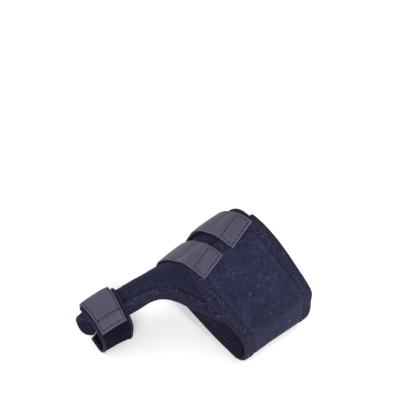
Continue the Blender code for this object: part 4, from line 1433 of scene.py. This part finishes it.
@once
def loop_knit():
    """Thin stretch knit, near-black navy: fine ribs along the foot and matt."""
    made, tree, shader, place = finish_tree("loop_knit")
    out = pile(tree, place)
    base = colour("knit")
    tone = mottled(tree, out["Blotch"], base, 0.8, 1.3)
    tone = mixed(tree, ramp(tree, out["Fine"], 0.56, 0.74, 0.0, 0.4), tone, scaled(base, 3.0))
    set_inputs(tree, shader, tone, Roughness=0.95, Specular_IOR_Level=0.05)
    bump(tree, shader, reckon(tree, "MULTIPLY_ADD", out["Fine"], 0.6, ribs(tree, 0.0009)), 0.5, 0.0003)
    return made


@once
def thread():
    """Dark twisted sewing thread."""
    made, tree, shader, place = finish_tree("thread")
    twist = noise(tree, place, 0.0004, 2.0)
    base = colour("thread")
    tone = mixed(tree, ramp(tree, twist, 0.4, 0.65), base, scaled(base, 2.6))
    set_inputs(tree, shader, tone, Roughness=0.8, Specular_IOR_Level=0.2)
    bump(tree, shader, twist, 0.4, 0.0002)
    return made


@once
def floor_finish():
    """Plain pale floor."""
    made, tree, shader, place = finish_tree("floor")
    base = colour("floor")
    tone = mixed(tree, noise(tree, place, 0.5, 2.0), base, scaled(base, 0.985))
    set_inputs(tree, shader, tone, Roughness=0.85, Specular_IOR_Level=0.2)
    return made


class SplintColours(bpy.types.PropertyGroup):
    """Colours of the splint's cloths, in linear light."""

    __annotations__ = {
        name: bpy.props.FloatVectorProperty(name=label, description=words, default=default, size=3, min=0.0,
                                            max=1.0, subtype="COLOR")
        for name, (label, words, default) in COLOURS.items()
    }


class SplintSizes(bpy.types.PropertyGroup):
    """Sizes of the splint's finish."""

    stitch_pitch: bpy.props.FloatProperty(
        name="Stitch pitch", description="Distance from stitch to stitch on the panel's tapes",
        default=STITCH_PITCH, min=0.001, unit="LENGTH")
    thread_radius: bpy.props.FloatProperty(
        name="Thread radius", description="Radius of the sewing thread on the panel's tapes",
        default=THREAD_RADIUS, min=0.0001, unit="LENGTH")
    camera_distance: bpy.props.FloatProperty(
        name="Camera distance", description="Distance from the camera to the point it is aimed at",
        default=CAMERA_DISTANCE, min=0.1, unit="LENGTH")


class PieceOperator:
    """Base of the operators: runs build and reports it done."""

    bl_options = {"REGISTER", "UNDO"}

    def execute(self, context):
        self.build()
        return {"FINISHED"}


class SPLINT_OT_panel(PieceOperator, bpy.types.Operator):
    """Makes the wrap's panel with its arm"""

    bl_idname = "splint.panel"
    bl_label = "Panel"

    def build(self):
        build_panel()


def evened_shares():
    """Shares round the band whose points on its rear edge lie EDGE_STEP apart."""
    fine = np.linspace(0.0, 1.0, 2000)
    along = band_edges(fine)[0]
    length = walked(form_point(along, band_girth(fine, along)))
    return np.interp(np.linspace(0.0, length[-1], int(length[-1] / EDGE_STEP)), length, fine)


class SPLINT_OT_bindings(PieceOperator, bpy.types.Operator):
    """Makes the folded tapes round the panel and their stitches"""

    bl_idname = "splint.bindings"
    bl_label = "Bindings"

    def build(self):
        round_band, across = evened_shares(), np.linspace(0.125, 0.875, 60)
        tapes = (
            ("front_binding", front_spot, len(FRONT_EDGE), FRONT_TAPE_CUT),
            ("rear_binding", lambda i, inset: rear_spot(round_band[i], inset), len(round_band), REAR_TAPE_CUT),
            ("end_binding", lambda i, inset: end_spot(across[i], inset), len(across), END_TAPE_CUT),
        )
        for node, spot, steps, cut in tapes:
            build_tape(node, spot, steps, TAPE_WIDTH, half_thickness, TAPE_THICKNESS, cut)
        for side, label in ((1.0, "outer"), (-1.0, "inner")):
            tape_stitches("front_binding_stitches_" + label, front_spot, np.arange(len(FRONT_EDGE)), 41, side)
            tape_stitches("rear_binding_stitches_" + label, rear_spot, np.linspace(0.0, 1.0, 900), 42, side)
        tape_stitches("end_binding_stitches", end_spot, np.linspace(0.13, 0.87, 80), 43)


class SPLINT_OT_straps(PieceOperator, bpy.types.Operator):
    """Makes the two instep straps"""

    bl_idname = "splint.straps"
    bl_label = "Instep straps"

    def build(self):
        for seed, (name, seat) in enumerate(STRAP_SEATS.items()):
            build_strap(name, seat, seed + 11)


class SPLINT_OT_toe(PieceOperator, bpy.types.Operator):
    """Makes the toe loop with its tapes, and the toe strap"""

    bl_idname = "splint.toe"
    bl_label = "Toe loop and strap"

    def build(self):
        loop = build_toe_loop()
        tapes = []
        for side, name in enumerate(("toe_loop_rear_binding", "toe_loop_front_binding")):
            tapes += build_loop_tape(name, side, 51 + side)
        build_toe_strap()


class SPLINT_OT_stage(PieceOperator, bpy.types.Operator):
    """Makes the floor, the lights and the camera"""

    bl_idname = "splint.stage"
    bl_label = "Floor, lights and camera"

    def build(self):
        build_stage()


def placed(name, data, place, direction=None):
    """An object of the scene at a place, looking along a direction."""
    made = bpy.data.objects.new(name, data)
    made.location = place
    if direction is not None:
        made.rotation_euler = direction.to_track_quat("-Z", "Y").to_euler()
    bpy.context.scene.collection.objects.link(made)
    return made


def build_stage():
    """Floor, world, three soft lights and the camera at the photograph's angle."""
    scene = bpy.context.scene
    mesh = bpy.data.meshes.new("floor")
    corners = [(x * FLOOR_REACH, y * FLOOR_REACH, 0.0) for x, y in ((-1, -1), (1, -1), (1, 1), (-1, 1))]
    mesh.from_pydata(corners, [], [(0, 1, 2, 3)])
    mesh.materials.append(floor_finish())
    placed("floor", mesh, (0.0, 0.0, FLOOR_HEIGHT))
    world = bpy.data.worlds.new("studio")
    world.use_nodes = True
    sky = world.node_tree.nodes["Background"]
    sky.inputs["Color"].default_value = (1.0, 1.0, 1.0, 1.0)
    sky.inputs["Strength"].default_value = WORLD_STRENGTH
    scene.world = world
    scene.view_settings.view_transform = "Standard"
    for lamp in LAMPS:
        light = bpy.data.lights.new(lamp.name, "AREA")
        light.size, light.energy, light.color = lamp.size, lamp.watts, lamp.tint
        placed(lamp.name, light, lamp.place, Vector(LAMP_AIM) - Vector(lamp.place))
    turn, rise = math.radians(CAMERA_TURN), math.radians(CAMERA_RISE)
    back = Vector((math.sin(turn) * math.cos(rise), -math.cos(turn) * math.cos(rise), math.sin(rise)))
    lens = bpy.data.cameras.new("camera")
    lens.sensor_width = SENSOR_WIDTH
    lens.lens = CAMERA_FOCAL_PIXELS / IMAGE_PIXELS * SENSOR_WIDTH
    lens.clip_start = 0.01
    place = Vector(CAMERA_AIM) + Vector(FOOT_ORIGIN) + back * scene.splint_sizes.camera_distance
    scene.camera = placed("camera", lens, place, -back)


OPERATORS = [SPLINT_OT_panel, SPLINT_OT_bindings, SPLINT_OT_straps, SPLINT_OT_toe, SPLINT_OT_stage]


class SPLINT_PT_sidebar(bpy.types.Panel):
    """Lists the splint's settings and the operators that build it"""

    bl_idname = "SPLINT_PT_sidebar"
    bl_label = "Bunion corrector"
    bl_space_type = "VIEW_3D"
    bl_region_type = "UI"
    bl_category = "Splint"

    def draw(self, context):
        for settings in (context.scene.splint_sizes, context.scene.splint_colours):
            for name in settings.bl_rna.properties.keys():
                if name not in ("rna_type", "name"):
                    self.layout.prop(settings, name)
        for operator in OPERATORS:
            self.layout.operator(operator.bl_idname)


CLASSES = [SplintColours, SplintSizes, *OPERATORS, SPLINT_PT_sidebar]


def register():
    for kind in CLASSES:
        bpy.utils.register_class(kind)
    bpy.types.Scene.splint_colours = bpy.props.PointerProperty(type=SplintColours)
    bpy.types.Scene.splint_sizes = bpy.props.PointerProperty(type=SplintSizes)


def unregister():
    del bpy.types.Scene.splint_sizes
    del bpy.types.Scene.splint_colours
    for kind in reversed(CLASSES):
        bpy.utils.unregister_class(kind)


def main():
    register()
    for operator in OPERATORS:
        family, name = operator.bl_idname.split(".")
        getattr(getattr(bpy.ops, family), name)()


if __name__ == "__main__":
    main()
